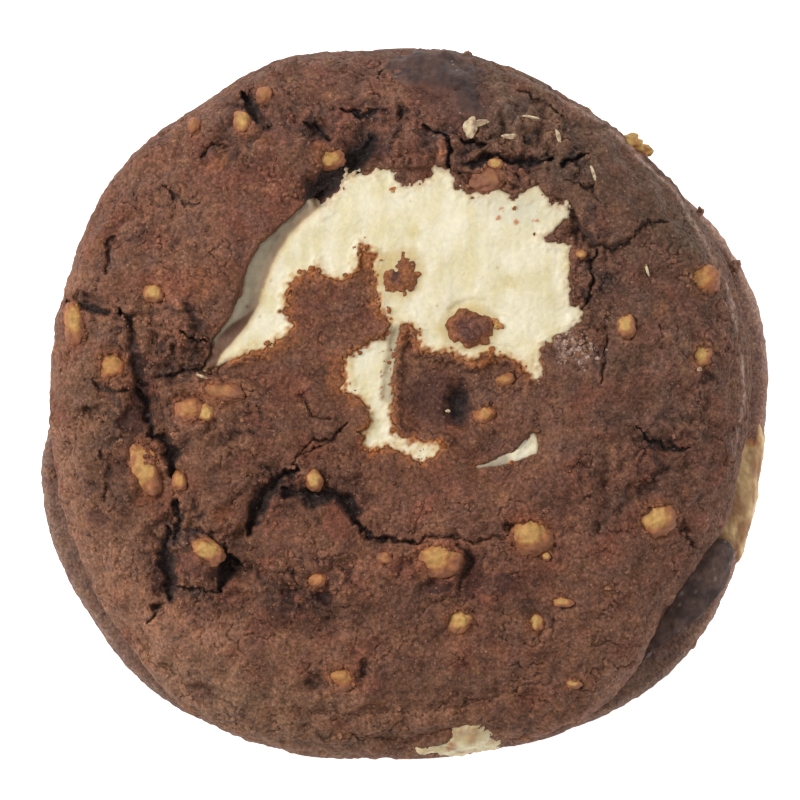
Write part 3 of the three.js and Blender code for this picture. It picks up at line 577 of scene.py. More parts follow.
def signed_distance(xy, polygon, reach=8.0):
    """Distance to a closed polygon's edge, negative inside it. Farther out than reach it is
    only known to be more than that."""
    corners = np.array(polygon, float)
    result = np.full(len(xy), reach)
    boxed = near_points(xy, corners, reach)
    near = xy[boxed]
    nearest = np.full(len(near), 1e9)
    inside = np.zeros(len(near), bool)
    for a, b in zip(corners, np.roll(corners, -1, axis=0)):
        along = b - a
        share = np.clip((near - a) @ along / (along @ along), 0.0, 1.0)
        nearest = np.minimum(nearest, np.linalg.norm(near - a - share[:, None] * along, axis=1))
        crosses = (a[1] > near[:, 1]) != (b[1] > near[:, 1])
        at = a[0] + (near[:, 1] - a[1]) * along[0] / (along[1] if along[1] else 1e-9)
        inside ^= crosses & (near[:, 0] < at)
    result[boxed] = np.where(inside, -nearest, nearest)
    return result


def path_distance(xy, path):
    """Distance to an open path, how far along it the nearest point is, from 0 to 1, and the
    side of the path, positive at its left."""
    corners = np.array(path, float)
    lengths = np.linalg.norm(np.diff(corners, axis=0), axis=1)
    before = np.concatenate([[0.0], np.cumsum(lengths)])
    nearest = np.full(len(xy), 1e9)
    share, side = np.zeros((2, len(xy)))
    for a, b, length, start in zip(corners[:-1], corners[1:], lengths, before):
        along = (b - a) / length
        reach = np.clip((xy - a) @ along, 0.0, length)
        away = np.linalg.norm(xy - a - reach[:, None] * along, axis=1)
        closer = away < nearest
        nearest = np.where(closer, away, nearest)
        share = np.where(closer, (start + reach) / before[-1], share)
        across = along[0] * (xy[:, 1] - a[1]) - along[1] * (xy[:, 0] - a[0])
        side = np.where(closer, across, side)
    return nearest, share, side


def spun(points, degrees):
    """Points turned about the z axis."""
    c, s = math.cos(math.radians(degrees)), math.sin(math.radians(degrees))
    return points @ np.array([[c, s, 0], [-s, c, 0], [0, 0, 1]])


def in_ellipse(xy, x, y, half_x, half_y, turn=0):
    """Coordinates in an ellipse's own frame, as shares of its half-sizes, and how far out
    they are: 1 on the ellipse."""
    c, s = math.cos(math.radians(turn)), math.sin(math.radians(turn))
    dx, dy = xy[:, 0] - x, xy[:, 1] - y
    own = np.stack([(c * dx + s * dy) / half_x, (c * dy - s * dx) / half_y], axis=1)
    return own, np.linalg.norm(own, axis=1)


def in_places(xy, places, whole, none):
    """The amounts of the elliptical places that hold each point. A place has its whole amount
    up to one share of its half-sizes and none from another share on."""
    total = np.zeros(len(xy))
    for *place, amount in places:
        total += amount * smoothstep(none, whole, in_ellipse(xy, *place)[1])
    return total


def flat(points):
    """Points moved to height zero, for noise that doesn't change with height."""
    return np.column_stack([points[:, :2], np.zeros(len(points))])


def warped(points, amount, scale, seed):
    """The points' x and y, shifted a little by noise, which makes outlines ragged."""
    base = flat(points)
    dx = fbm(base, scale, 2, seed)
    dy = fbm(base, scale, 2, seed + 50)
    return points[:, :2] + amount * np.column_stack([dx, dy])


def near_path(points, path, outer, inner, ragged):
    """1 up to inner from a path and 0 from outer on."""
    return smoothstep(outer, inner, path_distance(warped(points, *ragged), path)[0])


# ---- The cookie's surfaces ---------------------------------------------------------------


def lump_height(xy):
    total = np.zeros(len(xy))
    for x, y, rise, spread in LUMPS:
        total += rise * np.exp(-((xy[:, 0] - x) ** 2 + (xy[:, 1] - y) ** 2) / spread**2)
    return total


def basin_drop(xy):
    """How far the crust around the window lies below the dome. The basin's edge is a sharp
    lip at its upper left and fades gently into the dome at its lower right."""
    toward_low = (xy[:, 0] - 2.0) * 0.5 - (xy[:, 1] - 12.0) * 0.85
    half_edge = 0.25 + 4.0 * smoothstep(-4.0, 10.0, toward_low)
    return BASIN_DROP * smoothstep(1.0, -1.0, signed_distance(xy, BASIN) / half_edge)


def plate_drop(xy):
    side = 1.0 - smoothstep(9.0, 17.0, xy[:, 0])
    return PLATE_DROP * side * smoothstep(0.9, -0.9, signed_distance(xy, PLATE))


def behind_ridge(xy):
    """Distance to the ridge where the lit marshmallow ends, negative on the lip's side."""
    beyond = [(-12.0, 40.0), (-40.0, 40.0), (-40.0, 3.0), (-22.8, 4.2)]
    return signed_distance(xy, POOL_RIDGE + beyond)


def pool_height(points):
    """Height of the marshmallow's top."""
    xy = points[:, :2]
    base = flat(points)
    height = POOL_LEVEL + 0.25 * noise(base, 9.0, 301) + 0.10 * noise(base, 3.5, 302)
    height -= 1.1 * smoothstep(21.0, 30.0, xy[:, 1])
    height -= 0.5 * smoothstep(14.0, 24.0, xy[:, 0])
    under_lip = smoothstep(0.6, -2.6, behind_ridge(xy))
    under_plate = PLATE_DROP * smoothstep(-0.6, -2.4, signed_distance(xy, PLATE))
    return height - under_plate - 0.7 * under_lip


def window_distance(points):
    """Distance to the ragged edge of the opening in the crust, negative inside it."""
    xy = points[:, :2]
    crumbly = 1.0 - 0.7 * lip_share(xy)[:, None]
    for amount, scale, seed in ((0.42, 1.6, 210), (0.46, 0.65, 212)):
        xy = xy + crumbly * (warped(points, amount, scale, seed) - points[:, :2])
    calm_xy = warped(points, 0.15, 1.2, 214)
    return np.minimum(signed_distance(xy, WINDOW), signed_distance(calm_xy, WEDGE) - 0.15)


def lip_share(xy):
    """1 where the crust stands over the pool as a sharp lip, 0 where it lies on it."""
    left = smoothstep(-3.0, -8.0, xy[:, 0] - 0.3 * (xy[:, 1] - 24.0))
    return left * smoothstep(0.8, -0.8, behind_ridge(xy) - 1.0)


def untoasted(xy, lip, outer, wedge):
    """How little the window's edge is toasted: at the lip, at its outer side and at the small
    second gap by those shares, and not at all elsewhere."""
    outer_side = smoothstep(15.0, 18.0, np.maximum(xy[:, 0], xy[:, 1] - 6.0))
    beside_wedge = smoothstep(4.9, 3.4, np.linalg.norm(xy - WEDGE_MIDDLE, axis=1))
    return np.maximum.reduce([lip * lip_share(xy), outer * outer_side, wedge * beside_wedge])


def bit_seats(points):
    """How deep the crust sinks around the biscuit bits, and how much they stain it."""
    xy = warped(points, 0.3, 0.9, 232)
    sink, stain = np.zeros((2, len(xy)))
    for x, y, half_x, half_y, turn, _ in BITS:
        near = near_points(xy, [(x, y)], 4.0)
        own, away = in_ellipse(xy[near], x, y, half_x, half_y, turn)
        toward = (own[:, 0] - 0.4 * own[:, 1]) / np.maximum(away, 0.1)
        right = smoothstep(-0.2, 0.9, toward)
        sink[near] = np.maximum(sink[near], right * np.exp(-(((away - 1.1) / 0.28) ** 2)))
        sink[near] = np.maximum(sink[near], smoothstep(0.95, 0.7, away))
        stain[near] = np.maximum(stain[near], smoothstep(1.8, 0.9, away))
    return 0.6 * sink, stain


def crack_fields(points):
    """Depth of the cracks, rise of the crust beside them, and how close a crack is (0 to 1)."""
    xy = warped(points, 0.5, 1.7, 220) + 0.3 * (warped(points, 0.5, 0.6, 222) - points[:, :2])
    wide = np.clip(1.0 + 0.6 * noise(flat(points), 2.4, 224), 0.5, 1.7)
    depth, rise, close = np.zeros((3, len(xy)))
    for width, deepest, left, right, path in CRACKS:
        near = near_points(xy, path, 5.0)
        away, share, side = path_distance(xy[near], path)
        taper = np.sin(np.pi * np.clip(share, 0.02, 0.98)) ** 0.6
        half = 0.5 * width * (0.25 + 0.75 * taper) * wide[near]
        depth[near] = np.maximum(depth[near], deepest * (1.0 - smoothstep(0.0, 1.35, away / half)))
        pillow = np.exp(-((away / (1.2 + 0.6 * width)) ** 2))
        level = np.where(side > 0, left, right) * np.exp(-((away / 2.6) ** 2))
        rise[near] += taper * (level - 0.7 * min(1.4, width) * pillow * np.minimum(wide[near], 1.3))
        crumbling = smoothstep(0.6, 2.2, deepest) * taper
        close[near] = np.maximum(close[near], crumbling * np.exp(-((away / 2.8) ** 2)))
    return depth, rise, close


def pit_depth(points):
    return 0.85 * in_places(warped(points, 0.45, 1.1, 230), PITS, 0.2, 1.45)


def smooth_fields(points):
    """Smoothness, sink and darkness of the smooth places."""
    xy = warped(points, 0.5, 1.6, 235)
    smoothness, sink, dark = np.zeros((3, len(xy)))
    for *place, depth, colour in SMOOTH_PLACES:
        inside = smoothstep(1.15, 0.7, in_ellipse(xy, *place)[1])
        smoothness = np.maximum(smoothness, inside)
        sink += depth * inside
        dark = np.maximum(dark, colour * inside)
    return smoothness, sink, dark


def crumbled(points):
    return np.minimum(in_places(points[:, :2], CRUMBLED_PLACES, 0.6, 1.25), 1.0)


def brokenness(points, near_crack, edge):
    """How much the crust is cracked and crumbled: near the cracks and in the listed places, but not
    at the window's edge."""
    share = near_crack + crumbled(points) + BROKEN_ANYWAY * noise(points, 7.0, 247)
    return np.clip(share, 0.0, 1.0) * smoothstep(0.3, 2.4, edge)


def rubble(points):
    """Broken crust: rough pillows of several sizes with soft valleys between them."""
    moved = points + 0.7 * np.column_stack([noise(points, 1.8, s) for s in (243, 244, 245)])
    total = np.zeros(len(points))
    for scale, height, seed in ((4.2, 2.8, 246), (2.1, 1.6, 248), (1.1, 0.4, 249)):
        hill = np.sqrt(noise(moved, scale, seed) ** 2 + 0.02)
        total += height * (np.minimum(hill, 0.6) - 0.3)
    return total


def crazing(points):
    """Fine short cracks over the whole crust."""
    lines = np.abs(noise(points, 3.2, 240) + 0.35 * noise(points, 1.0, 241))
    return 0.32 * patches(points, 5.5, 242, -0.1, 0.4) * (1.0 - smoothstep(0.0, 0.1, lines))


def crumb_relief(points):
    """The crust's own roughness: soft swells, crumbs and grain."""
    swell = 0.6 * noise(points, 7.0, 250) + 0.6 * noise(points, 3.0, 251)
    swell *= smoothstep(5.0, 14.0, points[:, 2])
    nearest, own = grains(points, 0.9, 252)
    crumbs = (0.12 + 0.16 * own) * (1.0 - nearest)
    fine = 0.14 * (1.0 - grains(points, 0.46, 253)[0]) + 0.2 * noise(points, 1.5, 254)
    return swell + crumbs + fine - 0.26


# ---- Meshes ------------------------------------------------------------------------------


def ring_faces(counts, starts):
    """Triangles between neighbouring rings of points, whatever their counts."""
    faces = []
    for (n, a0), (m, b0) in zip(zip(counts, starts), zip(counts[1:], starts[1:])):
        i = np.arange(n)
        j = np.ceil((i + 0.5) * m / n - 0.5).astype(int) % m
        faces.append(np.column_stack([a0 + i, a0 + (i + 1) % n, b0 + j]))
        if m > 1:
            j = np.arange(m)
            i = np.floor((j + 0.5) * n / m + 0.5).astype(int) % n
            faces.append(np.column_stack([b0 + (j + 1) % m, b0 + j, a0 + i]))
    return np.concatenate(faces)


def lathe(profile, outline):
    """Points and triangles of a closed body. Its profile is (reach, height, spacing) from the
    middle of its underside to the middle of its top, and its plan is the outline."""
    counts = [1 if reach == 0 else max(6, round(2 * np.pi * reach * MEAN_RADIUS / spacing))
              for reach, _, spacing in profile]
    starts = np.concatenate([[0], np.cumsum(counts)[:-1]])
    points = []
    for (reach, height, _), n in zip(profile, counts):
        degrees = np.arange(n) * 360.0 / n
        ring = polar(reach * outline_radius(outline, degrees), degrees)
        points.append(np.column_stack([ring, np.full(n, height)]))
    return np.concatenate(points), ring_faces(counts, starts)


def unit_ball(level):
    """Points and triangles of an icosphere of radius 1."""
    golden = (1 + 5**0.5) / 2
    rectangle = np.array([(x, y * golden, 0) for y in (1, -1) for x in (-1, 1)])
    points = np.concatenate([np.roll(rectangle, axis, axis=1) for axis in range(3)])
    points = points / np.linalg.norm(points[0])
    near = np.linalg.norm(points[:, None] - points, axis=2) < 1.1
    faces = np.array([(a, b, c) for a, b, c in combinations(range(12), 3)
                      if near[a, b] and near[b, c] and near[c, a]])
    inward = np.linalg.det(points[faces]) < 0
    faces[inward] = faces[inward][:, ::-1]
    for _ in range(level):
        edges = np.sort(edge_pairs(faces), axis=1)
        unique, index = np.unique(edges, axis=0, return_inverse=True)
        middle = points[unique].mean(axis=1)
        middle /= np.linalg.norm(middle, axis=1, keepdims=True)
        a, b, c = np.split(index.reshape(-1) + len(points), 3)
        points = np.concatenate([points, middle])
        p, q, r = faces.T
        corners = ((p, a, c), (q, b, a), (r, c, b), (a, b, c))
        faces = np.concatenate([np.column_stack(corner) for corner in corners])
    return points, faces


def edge_pairs(faces):
    return np.concatenate([faces[:, [0, 1]], faces[:, [1, 2]], faces[:, [2, 0]]])


def closed_sheet(upper, lower, wanted):
    """A closed body between two grids of points, over the cells whose corners are wanted."""
    columns = wanted.shape[1]
    cells = wanted[:-1, :-1] & wanted[1:, :-1] & wanted[:-1, 1:] & wanted[1:, 1:]
    row, column = np.nonzero(cells)
    a = row * columns + column
    faces = np.concatenate([np.column_stack([a, a + 1, a + columns + 1]),
                            np.column_stack([a, a + columns + 1, a + columns])])
    used, faces = np.unique(faces, return_inverse=True)
    faces = faces.reshape(-1, 3)
    n = len(used)
    edges = edge_pairs(faces)
    rim = edges[~np.isin(edges[:, 0] * n + edges[:, 1], edges[:, 1] * n + edges[:, 0])]
    walls = np.concatenate([np.column_stack([rim[:, 1], rim[:, 0], rim[:, 0] + n]),
                            np.column_stack([rim[:, 1], rim[:, 0] + n, rim[:, 1] + n])])
    points = np.concatenate([upper.reshape(-1, 3)[used], lower.reshape(-1, 3)[used]])
    return points, np.concatenate([faces, faces[:, ::-1] + n, walls])


def grid_slab(corners, spacing, keep, top, bottom):
    """A closed slab over the places that keep accepts, between the heights top and bottom."""
    (x0, y0), (x1, y1) = corners
    x, y = np.meshgrid(np.arange(x0, x1, spacing), np.arange(y0, y1, spacing))
    points = np.column_stack([x.ravel(), y.ravel(), np.zeros(x.size)])
    wanted = keep(points)
    upper, lower = points.copy(), points.copy()
    upper[wanted, 2] = top(points[wanted])
    lower[:, 2] = bottom
    return closed_sheet(upper, lower, wanted.reshape(x.shape))


def joined(parts):
    """Several (points, faces) pairs as one."""
    counts = [len(points) for points, _ in parts]
    starts = np.cumsum([0] + counts[:-1])
    return (np.concatenate([points for points, _ in parts]),
            np.concatenate([faces + start for (_, faces), start in zip(parts, starts)]))


def summed(index, vectors, count):
    """The sum of the vectors that each of count points gets."""
    return np.column_stack([np.bincount(index, weights=v, minlength=count) for v in vectors.T])


def vertex_normals(points, faces):
    a, b, c = (points[faces[:, i]] for i in range(3))
    face_normals = np.cross(b - a, c - a)
    normals = sum(summed(faces[:, i], face_normals, len(points)) for i in range(3))
    return normals / np.maximum(np.linalg.norm(normals, axis=1, keepdims=True), 1e-12)


def hollow_shade(points, faces, strength):
    """A factor for painted shade: below 1 where a point lies below its neighbours, and above 1
    where it lies above them."""
    total = sum(summed(faces[:, i], points[faces[:, j]], len(points))
                for i, j in ((0, 1), (1, 2), (2, 0)))
    count = np.bincount(faces.ravel(), minlength=len(points))
    mean = total / np.maximum(count, 1)[:, None]
    hollow = ((mean - points) * vertex_normals(points, faces)).sum(axis=1)
    return 1.0 - strength * np.clip(hollow, -0.09, 0.16)


def add_object(name, data):
    obj = bpy.data.objects.new(name, data)
    bpy.context.scene.collection.objects.link(obj)
    return obj


def to_mesh(name, points, faces):
    """A mesh object from points in the outlines' millimetres."""
    mesh = bpy.data.meshes.new(name)
    mesh.from_pydata(((points - outline_middle()) * MM).tolist(), [], faces.tolist())
    mesh.update()
    return add_object(name, mesh)


def mesh_arrays(obj):
    """A mesh object's points, in the outlines' millimetres, and its triangles."""
    mesh = obj.data
    points = np.empty(len(mesh.vertices) * 3)
    mesh.vertices.foreach_get("co", points)
    points = points.reshape(-1, 3) / MM + outline_middle()
    mesh.calc_loop_triangles()
    faces = np.empty(len(mesh.loop_triangles) * 3, int)
    mesh.loop_triangles.foreach_get("vertices", faces)
    return points, faces.reshape(-1, 3)


def simplify(obj, face_count):
    """Leaves about that many triangles, most of them where the shape needs them."""
    modifier = obj.modifiers.new("simplify", "DECIMATE")
    modifier.ratio = min(1.0, face_count / len(obj.data.polygons))
    graph = bpy.context.evaluated_depsgraph_get()
    mesh = bpy.data.meshes.new_from_object(obj.evaluated_get(graph))
    obj.modifiers.clear()
    obj.data = mesh


def paint(obj, colours):
    """Stores one linear colour for each point."""
    rgba = np.column_stack([colours, np.ones(len(colours))]).astype(np.float32)
    obj.data.attributes.new("tint", "FLOAT_COLOR", "POINT").data.foreach_set("color", rgba.ravel())


def painted(obj):
    """The colours that paint stored."""
    layer = obj.data.attributes["tint"].data
    colours = np.empty(4 * len(layer), np.float32)
    layer.foreach_get("color", colours)
    return colours.reshape(-1, 4)[:, :3].astype(float)


def finished(obj, colours):
    """The object in its colours, shaded smooth."""
    paint(obj, np.clip(colours, DARKEST, 1.0))
    obj.data.polygons.foreach_set("use_smooth", np.ones(len(obj.data.polygons), bool))
    return obj


# ---- Dough -------------------------------------------------------------------------------


def with_lengths(reach, z):
    """A section's arc length at each of its points, with their reach and height."""
    steps = np.hypot(np.diff(reach) * MEAN_RADIUS, np.diff(z))
    return np.concatenate([[0.0], np.cumsum(steps)]), reach, z


def dome_curve():
    """The dome's section, from its hidden underside to the top."""
    t = np.linspace(0.0, np.pi / 2, 400)
    power = 2.0 / DOME_FULLNESS
    reach = np.concatenate([TUCK + (1 - TUCK) * np.sin(t), np.cos(t[1:]) ** power])
    reach[-1] = 0.0
    z = np.concatenate([DOME_WAIST - (DOME_WAIST - DOME_BOTTOM) * np.cos(t),
                        DOME_WAIST + (DOME_TOP - DOME_WAIST) * np.sin(t[1:]) ** power])
    return with_lengths(reach, z)


def dome_profile():
    """The dome's section with the spacing of its points, which is finer on top."""
    length, reach, z = dome_curve()
    at = np.linspace(0, length[-1], int(length[-1] / (0.87 * DOUGH_SPACING)))
    under = [(0.0, DOME_BOTTOM, 4.0), (0.4, DOME_BOTTOM, 4.0), (0.8, DOME_BOTTOM, 1.0)]
    return under + [(r, height, DOUGH_SPACING * (1.0 if height > 12.0 else 1.5))
                    for r, height in zip(np.interp(at, length, reach), np.interp(at, length, z))]


def crust_height(points, crust, edge):
    """Height of the crust on top: a lip over the pool at the upper left, and elsewhere a sheet
    that lies on the pool near the window's edge."""
    pool = pool_height(points)
    low = crust - plate_drop(points[:, :2])
    floor = pool + 0.35 - 1.5 * np.maximum(edge - 0.8, 0.0)
    near = smoothstep(2.8, 0.0, edge)
    lying = np.maximum(low, floor) * (1.0 - near) + np.clip(low, floor, pool + 0.6) * near
    on_lip = lip_share(points[:, :2])
    return on_lip * crust + (1.0 - on_lip) * lying


def dome_relief(points, faces):
    """Sinks the basin, opens the window, cuts the cracks and roughens the crust."""
    on_top = smoothstep(DOME_WAIST + 2.0, DOME_WAIST + 6.0, points[:, 2])
    shape = points.copy()
    shape[:, 2] += on_top * lump_height(points[:, :2])
    depth, rise, close = crack_fields(points)
    smoothness, sink, _ = smooth_fields(points)
    edge = window_distance(points)
    rough = crumb_relief(points) - crazing(points)
    rough += brokenness(points, close, edge) * rubble(points)
    rough *= 1.0 - 0.75 * np.maximum(smoothness, smoothstep(0.3, 1.2, depth))

    crust = shape[:, 2] - on_top * basin_drop(points[:, :2]) + rise - sink
    cut = np.maximum.reduce([depth, pit_depth(points), bit_seats(points)[0]])
    open_share = smoothstep(0.12, -0.28, edge)
    height = (crust_height(points, crust, edge) - cut) * (1.0 - open_share)
    height += (pool_height(points) - 1.2) * open_share
    shape[:, 2] += on_top * (height - shape[:, 2])

    rough = np.minimum(rough, 0.08 + 3.0 * on_top)
    shape[:, :2] *= 1.0 + ((1.0 - on_top) * side_ridges(points) / MEAN_RADIUS)[:, None]
    shape += (rough * (1.0 - open_share * on_top))[:, None] * vertex_normals(points, faces)
    over = np.maximum(shape[:, 2] - HIGHEST + CEILING_SOFTNESS, 0.0)
    shape[:, 2] += CEILING_SOFTNESS * np.tanh(over / CEILING_SOFTNESS) - over
    return shape


def side_ridges(points):
    """Two thin shelves round the dome's right side, where layers of dough slumped."""
    degrees = bearing(points)
    where = smoothstep(-18, -2, degrees) * (1.0 - smoothstep(26, 38, degrees))
    height = points[:, 2] + 0.5 * noise(points, 9.0, 260)
    return 0.3 * where * sum(smoothstep(0.3, -0.3, height - top) for top in SHELF_TOPS)


def baked_colour(points):
    """The crust's mottled browns, lighter towards the lower left."""
    light = 0.5 + 0.5 * np.tanh((-points[:, 0] * 0.7 - points[:, 1]) / 30.0)
    colour = layered(
        BROWN,
        (LIGHT_BROWN, 0.75 * light**1.5 + 0.3 * fbm(points, 9.0, 3, 270) - 0.05),
        (RED_BROWN, 0.7 * patches(points, 4.5, 274, 0.0, 0.6)),
        (GREY_BROWN, 0.6 * patches(points, 3.4, 276, 0.0, 0.7)),
        (TAN_BROWN, 0.5 * patches(points, 1.6, 277, 0.2, 0.8)),
    )
    return colour * (1.0 + 0.19 * fbm(points, 2.8, 3, 284))[:, None]


def dough_tint(points, faces):
    """The crust's colour: painted shade in cracks, hollows, valleys and near breaks, rusty where
    it meets the marshmallow, a painted highlight at the right edge, and cooler at the upper right."""
    xy = points[:, :2]
    depth, _, close = crack_fields(points)
    # Painted shade: the crust is darker near the cracks and in the crumbled places.
    shade_near_breaks = np.maximum(0.6 * close, 0.5 * crumbled(points))
    # Painted shade in the valleys of the broken crust.
    valley_shade = smoothstep(0.0, -0.6, rubble(points))
    valley_shade *= brokenness(points, close, window_distance(points))
    smoothness, _, dark = smooth_fields(points)
    hollow = np.maximum(depth, 0.6 * pit_depth(points))
    colour = layered(
        baked_colour(points),
        (DARK_BROWN, shade_near_breaks * (0.6 + 0.6 * noise(points, 2.4, 279))),
        (CREVICE_SHADE, 0.65 * valley_shade),
        (RED_BROWN, 0.7 * smoothness),
        # painted shade where the smooth places sink, chocolate near the top edge
        (CHOCOLATE_AND_SHADE, dark),
        (RUST, rust(points)),
        (GLAZE, 0.7 * bit_seats(points)[1]),
        (DUST_AND_HIGHLIGHT, 0.6 * dust(points) * smoothstep(-0.1, 0.5, fbm(points, 0.7, 2, 290))),
        # painted shade in the cracks and pits
        (CREVICE_SHADE, 0.95 * smoothstep(0.2, 1.3, hollow)),
    )
    # Painted shade and light: darker in hollows and paler on tops, and darker or paler in the
    # listed places.
    shade = 1.0 - in_places(warped(points, 1.2, 4.0, 281), SHADES, 0.4, 1.4)
    colour = colour * (hollow_shade(points, faces, 3.2) * shade)[:, None]
    cool = 1.3 * smoothstep(-30.0, 60.0, xy[:, 0] + xy[:, 1]) - 0.3
    colour = colour * (1.0 + cool[:, None] * [-0.10, 0.01, 0.08])
    redder = in_places(xy, REDDER_PLACES, 0.3, 1.3)
    colour = colour * (1.0 + redder[:, None] * [0.8, -0.25, -0.25])
    # Painted highlight along the dome's right edge.
    return mix(colour, DUST_AND_HIGHLIGHT, edge_shine(points))


def edge_shine(points):
    """A thin pale line round the dome's right edge: a painted highlight along its crest."""
    degrees = bearing(points)
    share = np.linalg.norm(points[:, :2], axis=1) / outline_radius(DOME_OUTLINE, degrees)
    ragged = 0.007 * noise(points, 4.0, 285) + 0.003 * noise(points, 0.9, 288)
    line = np.exp(-(((share + ragged - 0.985) / 0.0045) ** 2))
    line *= smoothstep(7.5, 8.5, points[:, 2])
    where = smoothstep(-14.0, 4.0, degrees) * smoothstep(78.0, 50.0, degrees)
    return 0.75 * line * where * patches(points, 1.2, 282, -0.5, 0.1)


def rust(points):
    """Where the marshmallow's sugar toasted the crust's edge."""
    edge = window_distance(points)
    base = flat(points)
    reach = 0.75 + 0.6 * noise(base, 2.2, 275)
    share = smoothstep(reach, 0.3 * reach, edge + 0.35 * noise(base, 0.7, 271)) * (edge > -1.5)
    patchy = 0.25 + 0.9 * patches(base, 1.1, 272, -0.4, 0.3)
    faint = 0.1 * smoothstep(3.5, 0.5, edge) * (edge > 0)
    toasted = 1.0 - untoasted(points[:, :2], 0.85, 0.85, 1.0)
    listed = in_places(warped(points, 0.6, 1.4, 286), RUSTY_PLACES, 0.5, 1.2)
    listed *= patches(base, 1.1, 272, -0.5, 0.3)
    return np.clip((0.7 * share * patchy + faint) * toasted + listed, 0.0, 0.9)


def dust(points):
    """How much marshmallow is rubbed into the crust beside the window."""
    away = in_ellipse(points[:, :2], *DUSTY_PLACE)[1]
    return smoothstep(1.3, 0.1, away + 0.6 * fbm(points, 1.6, 2, 278))


def make_dough_dome():
    points, faces = lathe(dome_profile(), DOME_OUTLINE)
    obj = to_mesh("dough_dome", dome_relief(points, faces), faces)
    simplify(obj, DOUGH_FACES)
    return finished(obj, dough_tint(*mesh_arrays(obj)))


def foot_profile():
    """The foot's section with the spacing of its points."""
    flank = 1 - FOOT_EDGE
    under = [(0.0, 0.0, 3.0), (0.5, 0.0, 3.0), (0.9, 0.0, 1.0), (flank, 0.0, 0.35)]
    angles = np.radians(np.linspace(-80, 80, 13))
    edge = [(flank + FOOT_EDGE * math.cos(turn), 0.5 * FOOT_HEIGHT * (1 + math.sin(turn)), 0.3)
            for turn in angles]
    shelf = [(reach, FOOT_HEIGHT, 0.3) for reach in np.arange(flank - 0.006, 0.86, -0.006)]
    hidden = [(0.8, FOOT_HEIGHT, 1.0), (0.4, FOOT_HEIGHT, 3.0), (0.0, FOOT_HEIGHT, 3.0)]
    return under + edge + shelf + hidden


def foot_relief(points):
    return np.minimum(0.7 * crumb_relief(points) + 0.12 * noise(points, 5.0, 280) - 0.05, 0.08)


def make_dough_foot():
    points, faces = lathe(foot_profile(), FOOT_OUTLINE)
    up = smoothstep(0.2, 2.0, points[:, 2])
    shape = points + (foot_relief(points) * up)[:, None] * vertex_normals(points, faces)
    shape[:, 2] = np.maximum(shape[:, 2], 0.0)
    pale = mix(FOOT_LIGHT, FOOT_DARK, 0.5 + fbm(shape, 3.0, 3, 283))
    at_side = smoothstep(0.0, 30.0, np.abs(shape[:, 0]))
    colour = mix(dough_tint(shape, faces), pale, 0.75 * at_side)
    # Painted light: the foot is made paler, most at its right above the lower right, against the
    # dome's shade.
    at_right = smoothstep(0.0, 30.0, shape[:, 0]) * smoothstep(-34.0, -18.0, shape[:, 1])
    return finished(to_mesh("dough_foot", shape, faces), colour * (1.2 + 0.85 * at_right)[:, None])


# ---- Marshmallow -------------------------------------------------------------------------


def pool_surface(points):
    """The marshmallow's top, with its pulled and wrinkled skin. It dives under the crust."""
    base = flat(points)
    edge = window_distance(points)
    streak = base * PULLED
    skin = 0.05 * fbm(streak, 0.9, 2, 310) + 0.07 * noise(base, 2.2, 311)
    skin += 0.12 * noise(streak, 3.4, 313)
    xy = warped(points, 0.2, 1.4, 314)
    for path in GROOVES:
        skin -= 0.32 * np.exp(-((path_distance(xy, path)[0] / 0.4) ** 2))
    lip = 0.26 * smoothstep(-1.6, -0.3, edge) * smoothstep(0.4, -0.3, edge)
    dive = 2.6 * smoothstep(0.05, 0.9, edge)
    return pool_height(points) + skin + lip - dive


def stained(colour, points, stains, tint, amount, core, ragged):
    """The colour with round stains, which are whole up to a share of their size."""
    xy = warped(points, *ragged)
    for x, y, size in stains:
        away = np.linalg.norm(xy - [x, y], axis=1)
        colour = mix(colour, tint, amount * smoothstep(size, core * size, away))
    return colour


def creamy(points):
    """The marshmallow's own cream, with a grey place of painted shade and yellow stains."""
    base = flat(points)
    blotch = 0.6 * fbm(base * PULLED, 1.6, 3, 320) + 0.6 * fbm(base, 4.0, 2, 332)
    # Painted shade in the grey place.
    cream_shade = in_places(warped(points, 1.0, 3.0, 335), [SHADED_CREAM_PLACE], 0.3, 1.4)
    colour = layered(CREAM, (BUTTER, 0.4 + 0.9 * blotch), (CREAM_IN_SHADE, cream_shade))
    return stained(colour, points, YELLOW_STAINS, HONEY, 0.55, 0.3, (0.5, 1.2, 328))


def with_toasted_rim(colour, points, edge):
    base = flat(points)
    toasted = 1.0 - untoasted(points[:, :2], 1.0, 0.7, 1.0)
    wide = 1.0 + 0.7 * noise(base, 3.0, 329)
    toast = smoothstep(-1.3, 0.1, (edge + 0.5 * noise(base, 0.9, 321)) / wide)
    rim = smoothstep(-0.55, 0.1, edge + 0.4 * noise(base, 0.6, 322))
    return layered(colour, (TOAST, 0.85 * toast * toasted), (BURNT, rim * toasted))


def with_lip_shade(colour, points, edge):
    """The colour with painted shade on the marshmallow under the lip, brown and spotted low down.
    """
    base = flat(points)
    behind = behind_ridge(points[:, :2] + 0.2 * noise(base, 1.2, 323)[:, None])
    # Painted shade under the lip, darkest at the ridge.
    under_lip = mix(LIP_SHADE_DARK, LIP_SHADE_LIGHT, smoothstep(0.0, 2.0, -behind))
    under_lip = mix(under_lip, LIP_SHADE_BROWN, 0.3 * fbm(base, 1.6, 3, 324))
    width = 1.7 * smoothstep(12.4, 9.0, points[:, 1])
    brown = smoothstep(0.1, -0.2, behind) * smoothstep(-0.3, 0.2, behind + width)
    return layered(
        colour,
        (RIDGE_TAN, 0.7 * smoothstep(0.7, 0.0, behind)),
        (under_lip, smoothstep(0.15, -0.35, behind)),
        (COCOA, 0.9 * brown * (edge < 0.5)),
        (COCOA_SPOT, 0.7 * patches(base, 1.3, 325, 0.5, 0.75) * smoothstep(-0.3, -1.0, behind)),
    )


